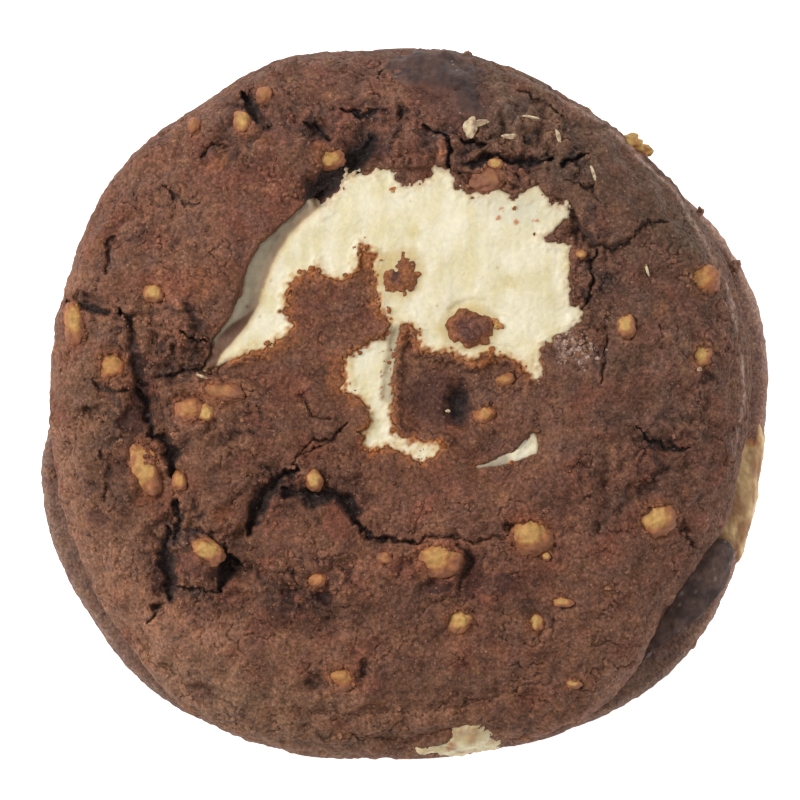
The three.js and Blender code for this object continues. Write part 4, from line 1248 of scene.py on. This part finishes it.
def with_stains(colour, points, edge):
    """The colour with shade beside the plate, crumb stains, specks and the flakes' halos."""
    base = flat(points)
    shade, sliver = (near_path(points, path, outer, 0.3, (0.2, 1.4, 327))
                     for path, outer in ((PLATE_SIDE, 1.1), (WEDGE_LIP, 1.4)))
    dotted = near_path(points, STAINED_PATH, 0.5, 0.15, (0.3, 0.7, 333))
    dotted *= dots(base, 0.55, 334, 0.42, 0.3)
    colour = layered(
        colour, (PLATE_SHADE, shade), (SLIVER_SHADE, 0.8 * sliver), (STAIN, 0.85 * dotted)
    )
    colour = stained(colour, points, ORANGE_SPECKS, ORANGE, 0.85, 0.5, (0.3, 0.5, 326))
    specks = dots(base, 1.7, 336, 0.15, 0.08) * patches(base, 5.0, 337, 0.0, 0.3)
    yellow = smoothstep(0.1, 0.7, fbm(base * [1.0, 0.25, 1.0], 2.4, 2, 339))
    yellow *= smoothstep(-1.0, -2.0, edge)
    flakes = [(x, y, half_x, half_y, 0, 0.7) for x, y, half_x, half_y, *_ in FLAKES.values()]
    halo = in_places(warped(points, 0.5, 1.2, 331), flakes, 1.0, 1.6)
    return layered(colour, (OLIVE, 0.6 * specks), (PALE_HONEY, 0.5 * yellow), (HALO, halo))


def make_marshmallow():
    slab = grid_slab(((-26.0, -9.0), (25.0, 31.0)), POOL_SPACING,
                     lambda p: window_distance(p) < 1.0, pool_surface, POOL_BOTTOM)
    obj = to_mesh("marshmallow_pool", *slab)
    simplify(obj, POOL_FACES)
    points, _ = mesh_arrays(obj)
    edge = window_distance(points)
    colour = creamy(points)
    for more in (with_toasted_rim, with_lip_shade, with_stains):
        colour = more(colour, points, edge)
    return finished(obj, colour)


def side_patch(surface, degrees, middle, half_sizes, lift, seed, ragged, thickness=1.6):
    """A thin ragged patch on a surface of the side, around a direction and a place along the
    section. The surface is its outline, its section and its relief."""
    outline, (length, reach, z), relief = surface
    half_width, half_length = half_sizes
    across, along = np.meshgrid(np.arange(-half_width - 2.0, half_width + 2.0, PATCH_SPACING),
                                np.arange(-half_length - 2.0, half_length + 2.0, PATCH_SPACING))
    direction = degrees + np.degrees(across / MEAN_RADIUS)
    at = middle + along
    radius = outline_radius(outline, direction) * np.interp(at, length, reach)
    sheet = np.dstack([polar(radius, direction), np.interp(at, length, z)])
    normal = np.cross(np.gradient(sheet, axis=1), np.gradient(sheet, axis=0))
    normal /= np.maximum(np.linalg.norm(normal, axis=2, keepdims=True), 1e-9)

    streaks = np.column_stack([0.4 * across.ravel(), along.ravel(), np.zeros(across.size)])
    away = np.hypot(across / half_width, along / half_length) - 1.0
    away += ragged * fbm(streaks, 1.8, 3, seed).reshape(across.shape)
    bulge = 0.35 * smoothstep(0.0, -0.8, away) - 1.2 * smoothstep(-0.12, 0.25, away)
    offset = lift + relief(sheet.reshape(-1, 3)).reshape(across.shape) + bulge
    wanted = (away < 0.3) & (at > 0.0) & (at < length[-1])
    return closed_sheet(sheet + normal * offset[..., None], sheet - thickness * normal, wanted)


def dome_patch(degrees, height, half_sizes, lift, seed, ragged):
    """A patch on the dome, around the place where the section first passes a height."""
    length, reach, z = dome_curve()
    surface = (DOME_OUTLINE, (length, reach, z), crumb_relief)
    middle = length[np.argmax(z > height)]
    return side_patch(surface, degrees, middle, half_sizes, lift, seed, ragged)


def foot_curve():
    """The foot's section over its rounded edge, and inward under the dome."""
    t = np.radians(np.linspace(-60.0, 80.0, 60))
    reach = np.append(1.0 - FOOT_EDGE * (1.0 - np.cos(t)), 0.86)
    return with_lengths(reach, np.append(0.5 * FOOT_HEIGHT * (1.0 + np.sin(t)), FOOT_HEIGHT))


def make_tongues():
    """Marshmallow that has run out at the side: a strip at the right, a patch at the bottom."""
    foot = (FOOT_OUTLINE, foot_curve(), foot_relief)
    strip = side_patch(foot, *FOOT_STRIP, thickness=0.7)
    points, faces = joined([strip] + [dome_patch(*patch) for patch in MARSHMALLOW_PATCHES])
    blotch = fbm(points * [1.0, 0.5, 1.0], 1.8, 3, 340)
    streaks = 0.7 * patches(points * [1.0, 0.2, 1.0], 0.9, 343, 0.0, 0.6)
    tan = layered(STRIP_LIGHT, (STRIP_DARK, 0.35 + 1.1 * blotch), (STRIP_STREAK, streaks))
    at_right = smoothstep(15.0, 25.0, points[:, 0])
    colour = layered(PATCH_LIGHT, (PATCH_DARK, 0.35 + 0.9 * blotch), (tan, at_right))
    colour = stained(colour, points, SIDE_STAINS, TOASTED, 0.8, 0.4, (0.5, 0.9, 341))
    return finished(to_mesh("marshmallow_side", points, faces), colour)


# ---- Flakes and chocolate ----------------------------------------------------------------


def make_flake(node):
    x, y, half_x, half_y, ragged, toasted = FLAKES[node]

    def distance(points):
        away = in_ellipse(warped(points, ragged, 1.3, 410), x, y, half_x, half_y)[1]
        return (away - 1.0) * min(half_x, half_y)

    def top(points):
        away = distance(points)
        height = pool_height(points) + 0.5 * smoothstep(0.2, -0.7, away)
        height += 1.1 * crumb_relief(points + [0, 0, ROUGH_HEIGHT])
        return height - smoothstep(-0.1, 0.5, away)

    points, faces = grid_slab(((x - 4, y - 4), (x + 4, y + 4)), FLAKE_SPACING,
                              lambda p: distance(p) < 0.6, top, POOL_LEVEL - 2.0)
    left = np.clip((x - points[:, 0]) / half_x, 0.0, 1.0)
    rim = smoothstep(-1.0, 0.0, distance(points) + 0.4 * noise(points, 0.8, 412) + 0.8 * left)
    patchy = toasted * patches(points, 1.3, 413, -0.5, 0.3)
    colour = layered(FLAKE_LIGHT, (FLAKE_DARK, 0.5 + fbm(points, 1.2, 2, 411)),
                     (RUST, np.maximum(0.6 * rim, patchy)))
    # Painted shade in the flake's hollows.
    colour = colour * hollow_shade(points, faces, 3.0)[:, None]
    return finished(to_mesh(node.replace("crust_", ""), points, faces), colour)


def make_chocolate_side():
    """A band that melted out between the dome and the foot at the lower right."""
    ball, faces = unit_ball(5)
    points = spun(ball * BAND_HALF_SIZES, BAND_TURN) + BAND_PLACE
    relief = 0.4 * noise(points, 3.0, 420) + 0.8 * crumb_relief(points)
    points = points + relief[:, None] * ball
    inset = 0.7 + 3.0 * smoothstep(-22.0, -32.0, points[:, 1]) + 0.5 * noise(points, 2.0, 424)
    limit = outline_radius(FOOT_OUTLINE, bearing(points)) - inset
    radius = np.linalg.norm(points[:, :2], axis=1)
    points[:, :2] *= np.minimum(1.0, limit / radius)[:, None]
    colour = layered(BAND_DARK, (BAND_LIGHT, 0.35 + fbm(points, 2.5, 3, 423)),
                     (BAND_DOT, 0.6 * dots(points, 1.4, 425, 0.17, 0.1)))
    return finished(to_mesh("chocolate_band", points, faces), colour)


def make_chocolate_top():
    """A chunk that melted into the crust, and is hardly told from it."""
    points, faces = joined([dome_patch(*patch) for patch in CHOCOLATE_PATCHES])
    dark = mix(SMEAR_DARK, SMEAR_LIGHT, 0.5 + fbm(points, 2.2, 3, 432))
    streak = near_path(points, MELTED_PATH, 3.0, 1.2, (1.4, 3.0, 434))
    dotted = dots(points, 1.2, 433, 0.13, 0.08) * patches(points, 3.0, 435, 0.0, 0.3)
    colour = layered(dough_tint(points, faces), (dark, 0.9 * streak), (SMEAR_DOT, 0.8 * dotted))
    return finished(to_mesh("chocolate_smear", points, faces), colour)


# ---- Bits, shreds and crumbs -------------------------------------------------------------


def surface_sampler(obj):
    """A function that gives the height of an object's top near each place."""
    points, _ = mesh_arrays(obj)
    cell = 0.5
    cells = 220
    middle = cells * cell / 2
    grid = np.full((cells, cells), -1.0)
    index = np.clip(((points[:, :2] + middle) / cell).astype(int), 0, cells - 1)
    np.maximum.at(grid, (index[:, 0], index[:, 1]), points[:, 2])

    def height(x, y):
        i, j = int((x + middle) / cell), int((y + middle) / cell)
        return grid[max(i - 1, 0):i + 2, max(j - 1, 0):j + 2].max()

    return height


def nugget(half_sizes, turn, seed, roughness):
    """An irregular broken bit: a ball with flattened sides and worn corners."""
    ball, faces = unit_ball(4 if max(half_sizes) > LARGE_BIT else 3)
    blocky = np.sign(ball) * np.abs(ball) ** 0.92
    blocky /= np.linalg.norm(blocky, axis=1).mean()
    dents = roughness * noise(ball + 7.0 * seed, 0.9, 500)
    dents += 0.5 * roughness * noise(ball + 3.0 * seed, 0.4, 501)
    return spun(blocky * (1.0 + dents)[:, None] * half_sizes, turn), faces


def bit_tint(points, x, y, half_x, half_y, toasted):
    """A bit's colour: yellow on its bare top, toasted farther out, and glazed with dough round its
    edge and over its lower side, which also paints shade on the side turned from the light. Above
    1, toasted means glazed all over."""
    dx, dy = (points[:, 0] - x) / half_x, (points[:, 1] - y) / half_y
    # Toast and glaze lean to the lower side: partly glaze, partly painted shade.
    outward = np.hypot(dx, dy) + 0.3 * (0.4 * dx - dy) + 0.3 * fbm(points, 0.9, 3, 510)
    baked = 0.7 * min(toasted, 1.0) + 0.85 * smoothstep(0.3, 1.1, outward)
    glazed = 0.85 * smoothstep(0.5, 1.35, outward)
    glazed += max(toasted - 1.0, 0.0) * (2.0 + fbm(points, 1.0, 2, 511))
    colour = layered(YELLOW_TAN, (TOASTED, baked), (GLAZE, glazed))
    return colour * (1.0 + 0.2 * fbm(points, 0.7, 2, 512))[:, None]


def make_bits(height_at):
    """Biscuit bits, mostly sunk in the dough, and the crumbs stuck to the side."""
    parts, colours = [], []
    for seed, (x, y, half_x, half_y, turn, toasted) in enumerate(BITS):
        size = min(half_x, half_y)
        ball, faces = nugget((1.25 * half_x, 1.25 * half_y, size), turn, seed, BIT_ROUGHNESS)
        points = ball + [x, y, height_at(x, y) - BIT_SUNK * size]
        points += (0.06 * fbm(points, 0.7, 2, 514))[:, None] * ball
        parts.append((points, faces))
        colours.append(bit_tint(points, x, y, half_x, half_y, toasted))
    for seed, (x, y, z, size, toasted) in enumerate(LOOSE_CRUMBS):
        half_sizes = (size, 0.8 * size, 0.8 * size)
        ball, faces = nugget(half_sizes, 40.0 * seed, seed + 90, CRUMB_ROUGHNESS)
        points = ball + [x, y, z]
        parts.append((points, faces))
        pale, dark = (LIGHT_BROWN, RED_BROWN) if toasted == 2 else (YELLOW_TAN, TOASTED)
        mottled = 0.2 + 0.6 * (toasted % 2) + fbm(points, 1.2, 3, 516)
        colours.append(mix(pale, dark, mottled))
    return finished(to_mesh("biscuit_bits", *joined(parts)), np.concatenate(colours))


def make_shreds(height_at):
    parts = []
    for seed, (x, y, half_x, half_y, turn) in enumerate(SHREDS):
        points, faces = nugget((half_x, half_y, 0.3), turn, seed + 60, SHRED_ROUGHNESS)
        parts.append((points + [x, y, height_at(x, y) - 0.12], faces))
    points, faces = joined(parts)
    colour = mix(SHRED_LIGHT, SHRED_DARK, 0.4 + 1.2 * fbm(points, 0.8, 2, 520))
    return finished(to_mesh("marshmallow_shreds", points, faces), colour)


def chosen(rng, count, chance):
    """That many points, picked by chance."""
    return rng.choice(len(chance), count, replace=False, p=chance / chance.sum())


def crumb_cloud(places, normals, sizes, colours, rng):
    """Small rough crumbs, half sunk at their places, and the colours of their points."""
    small, large = unit_ball(0), unit_ball(1)
    parts, tints = [], []
    for place_mm, normal, size, colour in zip(places, normals, sizes, colours):
        ball, faces = large if size > LARGE_CRUMB else small
        shape = ball * (1.0 + 0.25 * rng.normal(size=(len(ball), 1)).clip(-1, 1))
        shape = shape * size * rng.uniform(0.7, 1.3, 3)
        parts.append((shape + place_mm + 0.1 * size * normal, faces))
        tints.append(np.repeat([colour * rng.uniform(0.75, 1.2)], len(ball), axis=0))
    return parts, tints


def crust_crumbs(dome, rng):
    """Crumbs all over the crust, packed round the bits, and pale in the dusty place."""
    points, faces = mesh_arrays(dome)
    edge = window_distance(points)
    depth, _, close = crack_fields(points)
    fits = (edge > 0.3) & (points[:, 2] > 13.0)
    fits = fits * (1.0 - smooth_fields(points)[0]) * smoothstep(0.5, 0.2, depth)
    anywhere = chosen(rng, CRUST_CRUMBS, fits * (0.15 + np.maximum(crumbled(points), close)))
    by_bits = chosen(rng, BIT_CRUMBS, fits * (bit_seats(points)[1] > 0.45))
    dusty = chosen(rng, DUSTY_CRUMBS, (edge > 0.2) * dust(points))
    picked = np.concatenate([anywhere, by_bits, dusty])
    sizes = 0.13 + 0.22 * rng.random(len(picked)) ** 2.5
    tints = 1.15 * painted(dome)[picked]
    tints[-DUSTY_CRUMBS:] = DUST_AND_HIGHLIGHT
    return crumb_cloud(points[picked], vertex_normals(points, faces)[picked], sizes, tints, rng)


def pool_crumbs(pool, rng):
    """Toasted crumbs that fell from the crust's edge on the marshmallow."""
    points, faces = mesh_arrays(pool)
    edge = window_distance(points)
    chance = (edge < 0.1) * smoothstep(-1.5, -0.2, edge)
    chance *= 1.05 - untoasted(points[:, :2], 1.0, 1.0, 0.0)
    chance *= patches(flat(points), 2.6, 526, -0.1, 0.5)
    picked = chosen(rng, POOL_CRUMBS, chance)
    sizes = 0.1 + 0.24 * rng.random(len(picked)) ** 2.5
    tints = np.where(rng.random((len(picked), 1)) < 0.5, RUST, TOASTED_CRUMB)
    return crumb_cloud(points[picked], vertex_normals(points, faces)[picked], sizes, tints, rng)


def make_crumbs(dome, pool):
    rng = np.random.default_rng(21)
    parts, colours = crust_crumbs(dome, rng)
    more_parts, more_colours = pool_crumbs(pool, rng)
    obj = to_mesh("crumbs", *joined(parts + more_parts))
    paint(obj, np.concatenate(colours + more_colours))
    return obj


# ---- Materials ---------------------------------------------------------------------------


class Shader:
    """A node material around one Principled shader."""

    def __init__(self, name):
        self.material = bpy.data.materials.new(name)
        self.material.use_nodes = True
        self.tree = self.material.node_tree
        self.principled = self.tree.nodes["Principled BSDF"]
        self.place = self.tree.nodes.new("ShaderNodeTexCoord").outputs["Object"]

    def feed(self, node, inputs):
        """Gives a node's inputs their values, or links them to other nodes' outputs."""
        for name, value in inputs.items():
            socket = node.inputs[name.replace("_", " ") if isinstance(name, str) else name]
            if isinstance(value, bpy.types.NodeSocket):
                self.tree.links.new(value, socket)
            else:
                socket.default_value = value
        return node

    def set(self, **inputs):
        self.feed(self.principled, inputs)

    def add(self, kind, **inputs):
        return self.feed(self.tree.nodes.new("ShaderNode" + kind), inputs)

    def tint(self):
        node = self.tree.nodes.new("ShaderNodeAttribute")
        node.attribute_name = "tint"
        return node.outputs["Color"]

    def grain(self, size_mm, detail=2.0, roughness=0.5):
        """Noise with features of about that size, from 0 to 1."""
        return self.add("TexNoise", Vector=self.place, Scale=0.5 / (size_mm * MM),
                        Detail=detail, Roughness=roughness).outputs["Fac"]

    def crumbs(self, size_mm):
        """Cells of about that size: the distance from their middles, and a random number
        for each."""
        cells = self.add("TexVoronoi", Vector=self.place, Scale=1.0 / (size_mm * MM))
        own = self.add("SeparateColor", Color=cells.outputs["Color"])
        return cells.outputs["Distance"], own.outputs["Red"]

    def ramp(self, value, low, high, start=0.0, end=1.0):
        return self.add("MapRange", Value=value, From_Min=low, From_Max=high,
                        To_Min=start, To_Max=end).outputs["Result"]

    def math(self, operation, a, b):
        node = self.tree.nodes.new("ShaderNodeMath")
        node.operation = operation
        return self.feed(node, {0: a, 1: b}).outputs[0]

    def scaled(self, colour, factor):
        node = self.tree.nodes.new("ShaderNodeVectorMath")
        node.operation = "SCALE"
        return self.feed(node, {0: colour, "Scale": factor}).outputs[0]

    def filtered(self, colour, factors):
        """The colour with each channel times its own factor."""
        node = self.tree.nodes.new("ShaderNodeVectorMath")
        node.operation = "MULTIPLY"
        return self.feed(node, {0: colour, 1: factors}).outputs[0]

    def blend(self, a, b, share):
        node = self.tree.nodes.new("ShaderNodeMix")
        node.data_type = "RGBA"
        return self.feed(node, {6: a, 7: b, 0: share}).outputs[2]

    def bump(self, height, strength, distance_mm):
        node = self.add("Bump", Strength=strength, Distance=distance_mm * MM, Height=height)
        self.set(Normal=node.outputs["Normal"])


def grained(name, size_mm, tones, bump):
    """A shader whose tint varies with a fine grain, and the grain itself."""
    shader = Shader(name)
    grain = shader.grain(size_mm, 3.0, 0.6)
    shader.set(Base_Color=shader.scaled(shader.tint(), shader.ramp(grain, 0.3, 0.7, *tones)))
    shader.bump(grain, *bump)
    return shader, grain


def dough_material():
    shader = Shader("baked_dough")
    grain = shader.grain(0.24, 3.0, 0.65)
    distance, own = shader.crumbs(0.34)
    gap = shader.ramp(distance, 0.4, 0.8, 1.0, 0.72)
    tone = shader.math("MULTIPLY", shader.ramp(own, 0.0, 1.0, 0.86, 1.16), gap)
    tone = shader.math("MULTIPLY", shader.ramp(grain, 0.3, 0.7, 0.65, 1.41), tone)
    colour = shader.scaled(shader.tint(), tone)
    warm = shader.filtered(colour, (1.03, 0.99, 0.93))
    cool = shader.filtered(colour, (0.97, 1.0, 1.05))
    colour = shader.blend(warm, cool, shader.ramp(shader.grain(0.8, 2.0, 0.6), 0.35, 0.65))
    specks = shader.math("MULTIPLY", shader.ramp(shader.grain(0.18, 1.0), 0.69, 0.78), 0.4)
    shader.set(Base_Color=shader.blend(colour, (*SUGAR.tolist(), 1.0), specks))
    shader.bump(shader.math("SUBTRACT", grain, shader.math("MULTIPLY", distance, 0.6)), 0.8, 0.18)
    shader.set(Roughness=shader.ramp(grain, 0.3, 0.7, 0.9, 0.66), Specular_IOR_Level=0.2)
    return shader.material


def marshmallow_material():
    shader, _ = grained("marshmallow", 0.3, (0.93, 1.06), (0.85, 0.15))
    roughness = shader.ramp(shader.grain(1.6), 0.3, 0.7, 0.42, 0.62)
    shader.set(Roughness=roughness, Specular_IOR_Level=0.4)
    shader.set(Subsurface_Weight=0.25, Subsurface_Scale=1.2 * MM, Subsurface_Radius=(1.0, 0.8, 0.5))
    return shader.material


def chocolate_material():
    shader, _ = grained("melted_chocolate", 0.35, (0.75, 1.3), (0.4, 0.1))
    shader.set(Roughness=shader.ramp(shader.grain(0.8), 0.3, 0.7, 0.5, 0.8), Specular_IOR_Level=0.2)
    return shader.material


def biscuit_material():
    shader, grain = grained("biscuit", 0.3, (0.82, 1.18), (0.9, 0.2))
    shader.set(Roughness=shader.ramp(grain, 0.3, 0.7, 0.8, 0.55))
    return shader.material


# ---- Light, floor and camera -------------------------------------------------------------


def make_world():
    world = bpy.data.worlds.new("studio")
    world.use_nodes = True
    background = world.node_tree.nodes["Background"]
    background.inputs["Color"].default_value = WHITE
    background.inputs["Strength"].default_value = WORLD_STRENGTH
    bpy.context.scene.world = world


def add_light(name, place_mm, size_mm, power, colour):
    data = bpy.data.lights.new(name, "AREA")
    data.size = size_mm * MM
    data.energy = power
    data.color = colour
    obj = add_object(name, data)
    obj.location = [v * MM for v in place_mm]
    obj.rotation_euler = (-obj.location).to_track_quat("-Z", "Y").to_euler()


def make_floor():
    half = FLOOR_HALF * MM
    mesh = bpy.data.meshes.new("floor")
    corners = [(-half, -half, 0), (half, -half, 0), (half, half, 0), (-half, half, 0)]
    mesh.from_pydata(corners, [], [(0, 1, 2, 3)])
    shader = Shader("floor")
    shader.set(Base_Color=(0.9, 0.9, 0.9, 1.0), Roughness=0.9)
    shader.set(Emission_Color=WHITE, Emission_Strength=0.85)
    mesh.materials.append(shader.material)
    add_object("floor", mesh)


def make_camera():
    camera = bpy.data.cameras.new("camera")
    camera.sensor_width = SENSOR
    camera.lens = SENSOR * (CAMERA_DISTANCE - DOME_WAIST) / PICTURE_WIDTH
    camera.clip_end = 10.0
    obj = add_object("camera", camera)
    obj.location = (np.array([*CAMERA_SHIFT, CAMERA_DISTANCE]) - outline_middle()) * MM
    bpy.context.scene.camera = obj
    bpy.context.scene.view_settings.view_transform = "Standard"


# ---- The whole scene ---------------------------------------------------------------------


def place(obj, material, slot, *nodes):
    obj.data.materials.clear()
    obj.data.materials.append(material)
    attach(obj, "root")
    if nodes:
        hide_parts(*nodes)


def main():
    dough, marshmallow = dough_material(), marshmallow_material()
    chocolate, biscuit = chocolate_material(), biscuit_material()
    dome = make_dough_dome()
    height_at = surface_sampler(dome)
    place(dome, dough, "dough", "dough")
    place(make_dough_foot(), dough, "dough")
    pool = make_marshmallow()
    place(pool, marshmallow, "marshmallow", "marshmallow")
    place(make_tongues(), marshmallow, "marshmallow")
    for node in FLAKES:
        place(make_flake(node), dough, "crust", node)
    place(make_chocolate_side(), chocolate, "chocolate", "chocolate_side")
    place(make_chocolate_top(), chocolate, "chocolate", "chocolate_top")
    place(make_bits(height_at), biscuit, "crust")
    place(make_shreds(height_at), marshmallow, "marshmallow")
    place(make_crumbs(dome, pool), dough, "dough")
    make_world()
    for light in LIGHTS:
        add_light(*light)
    make_floor()
    make_camera()


main()
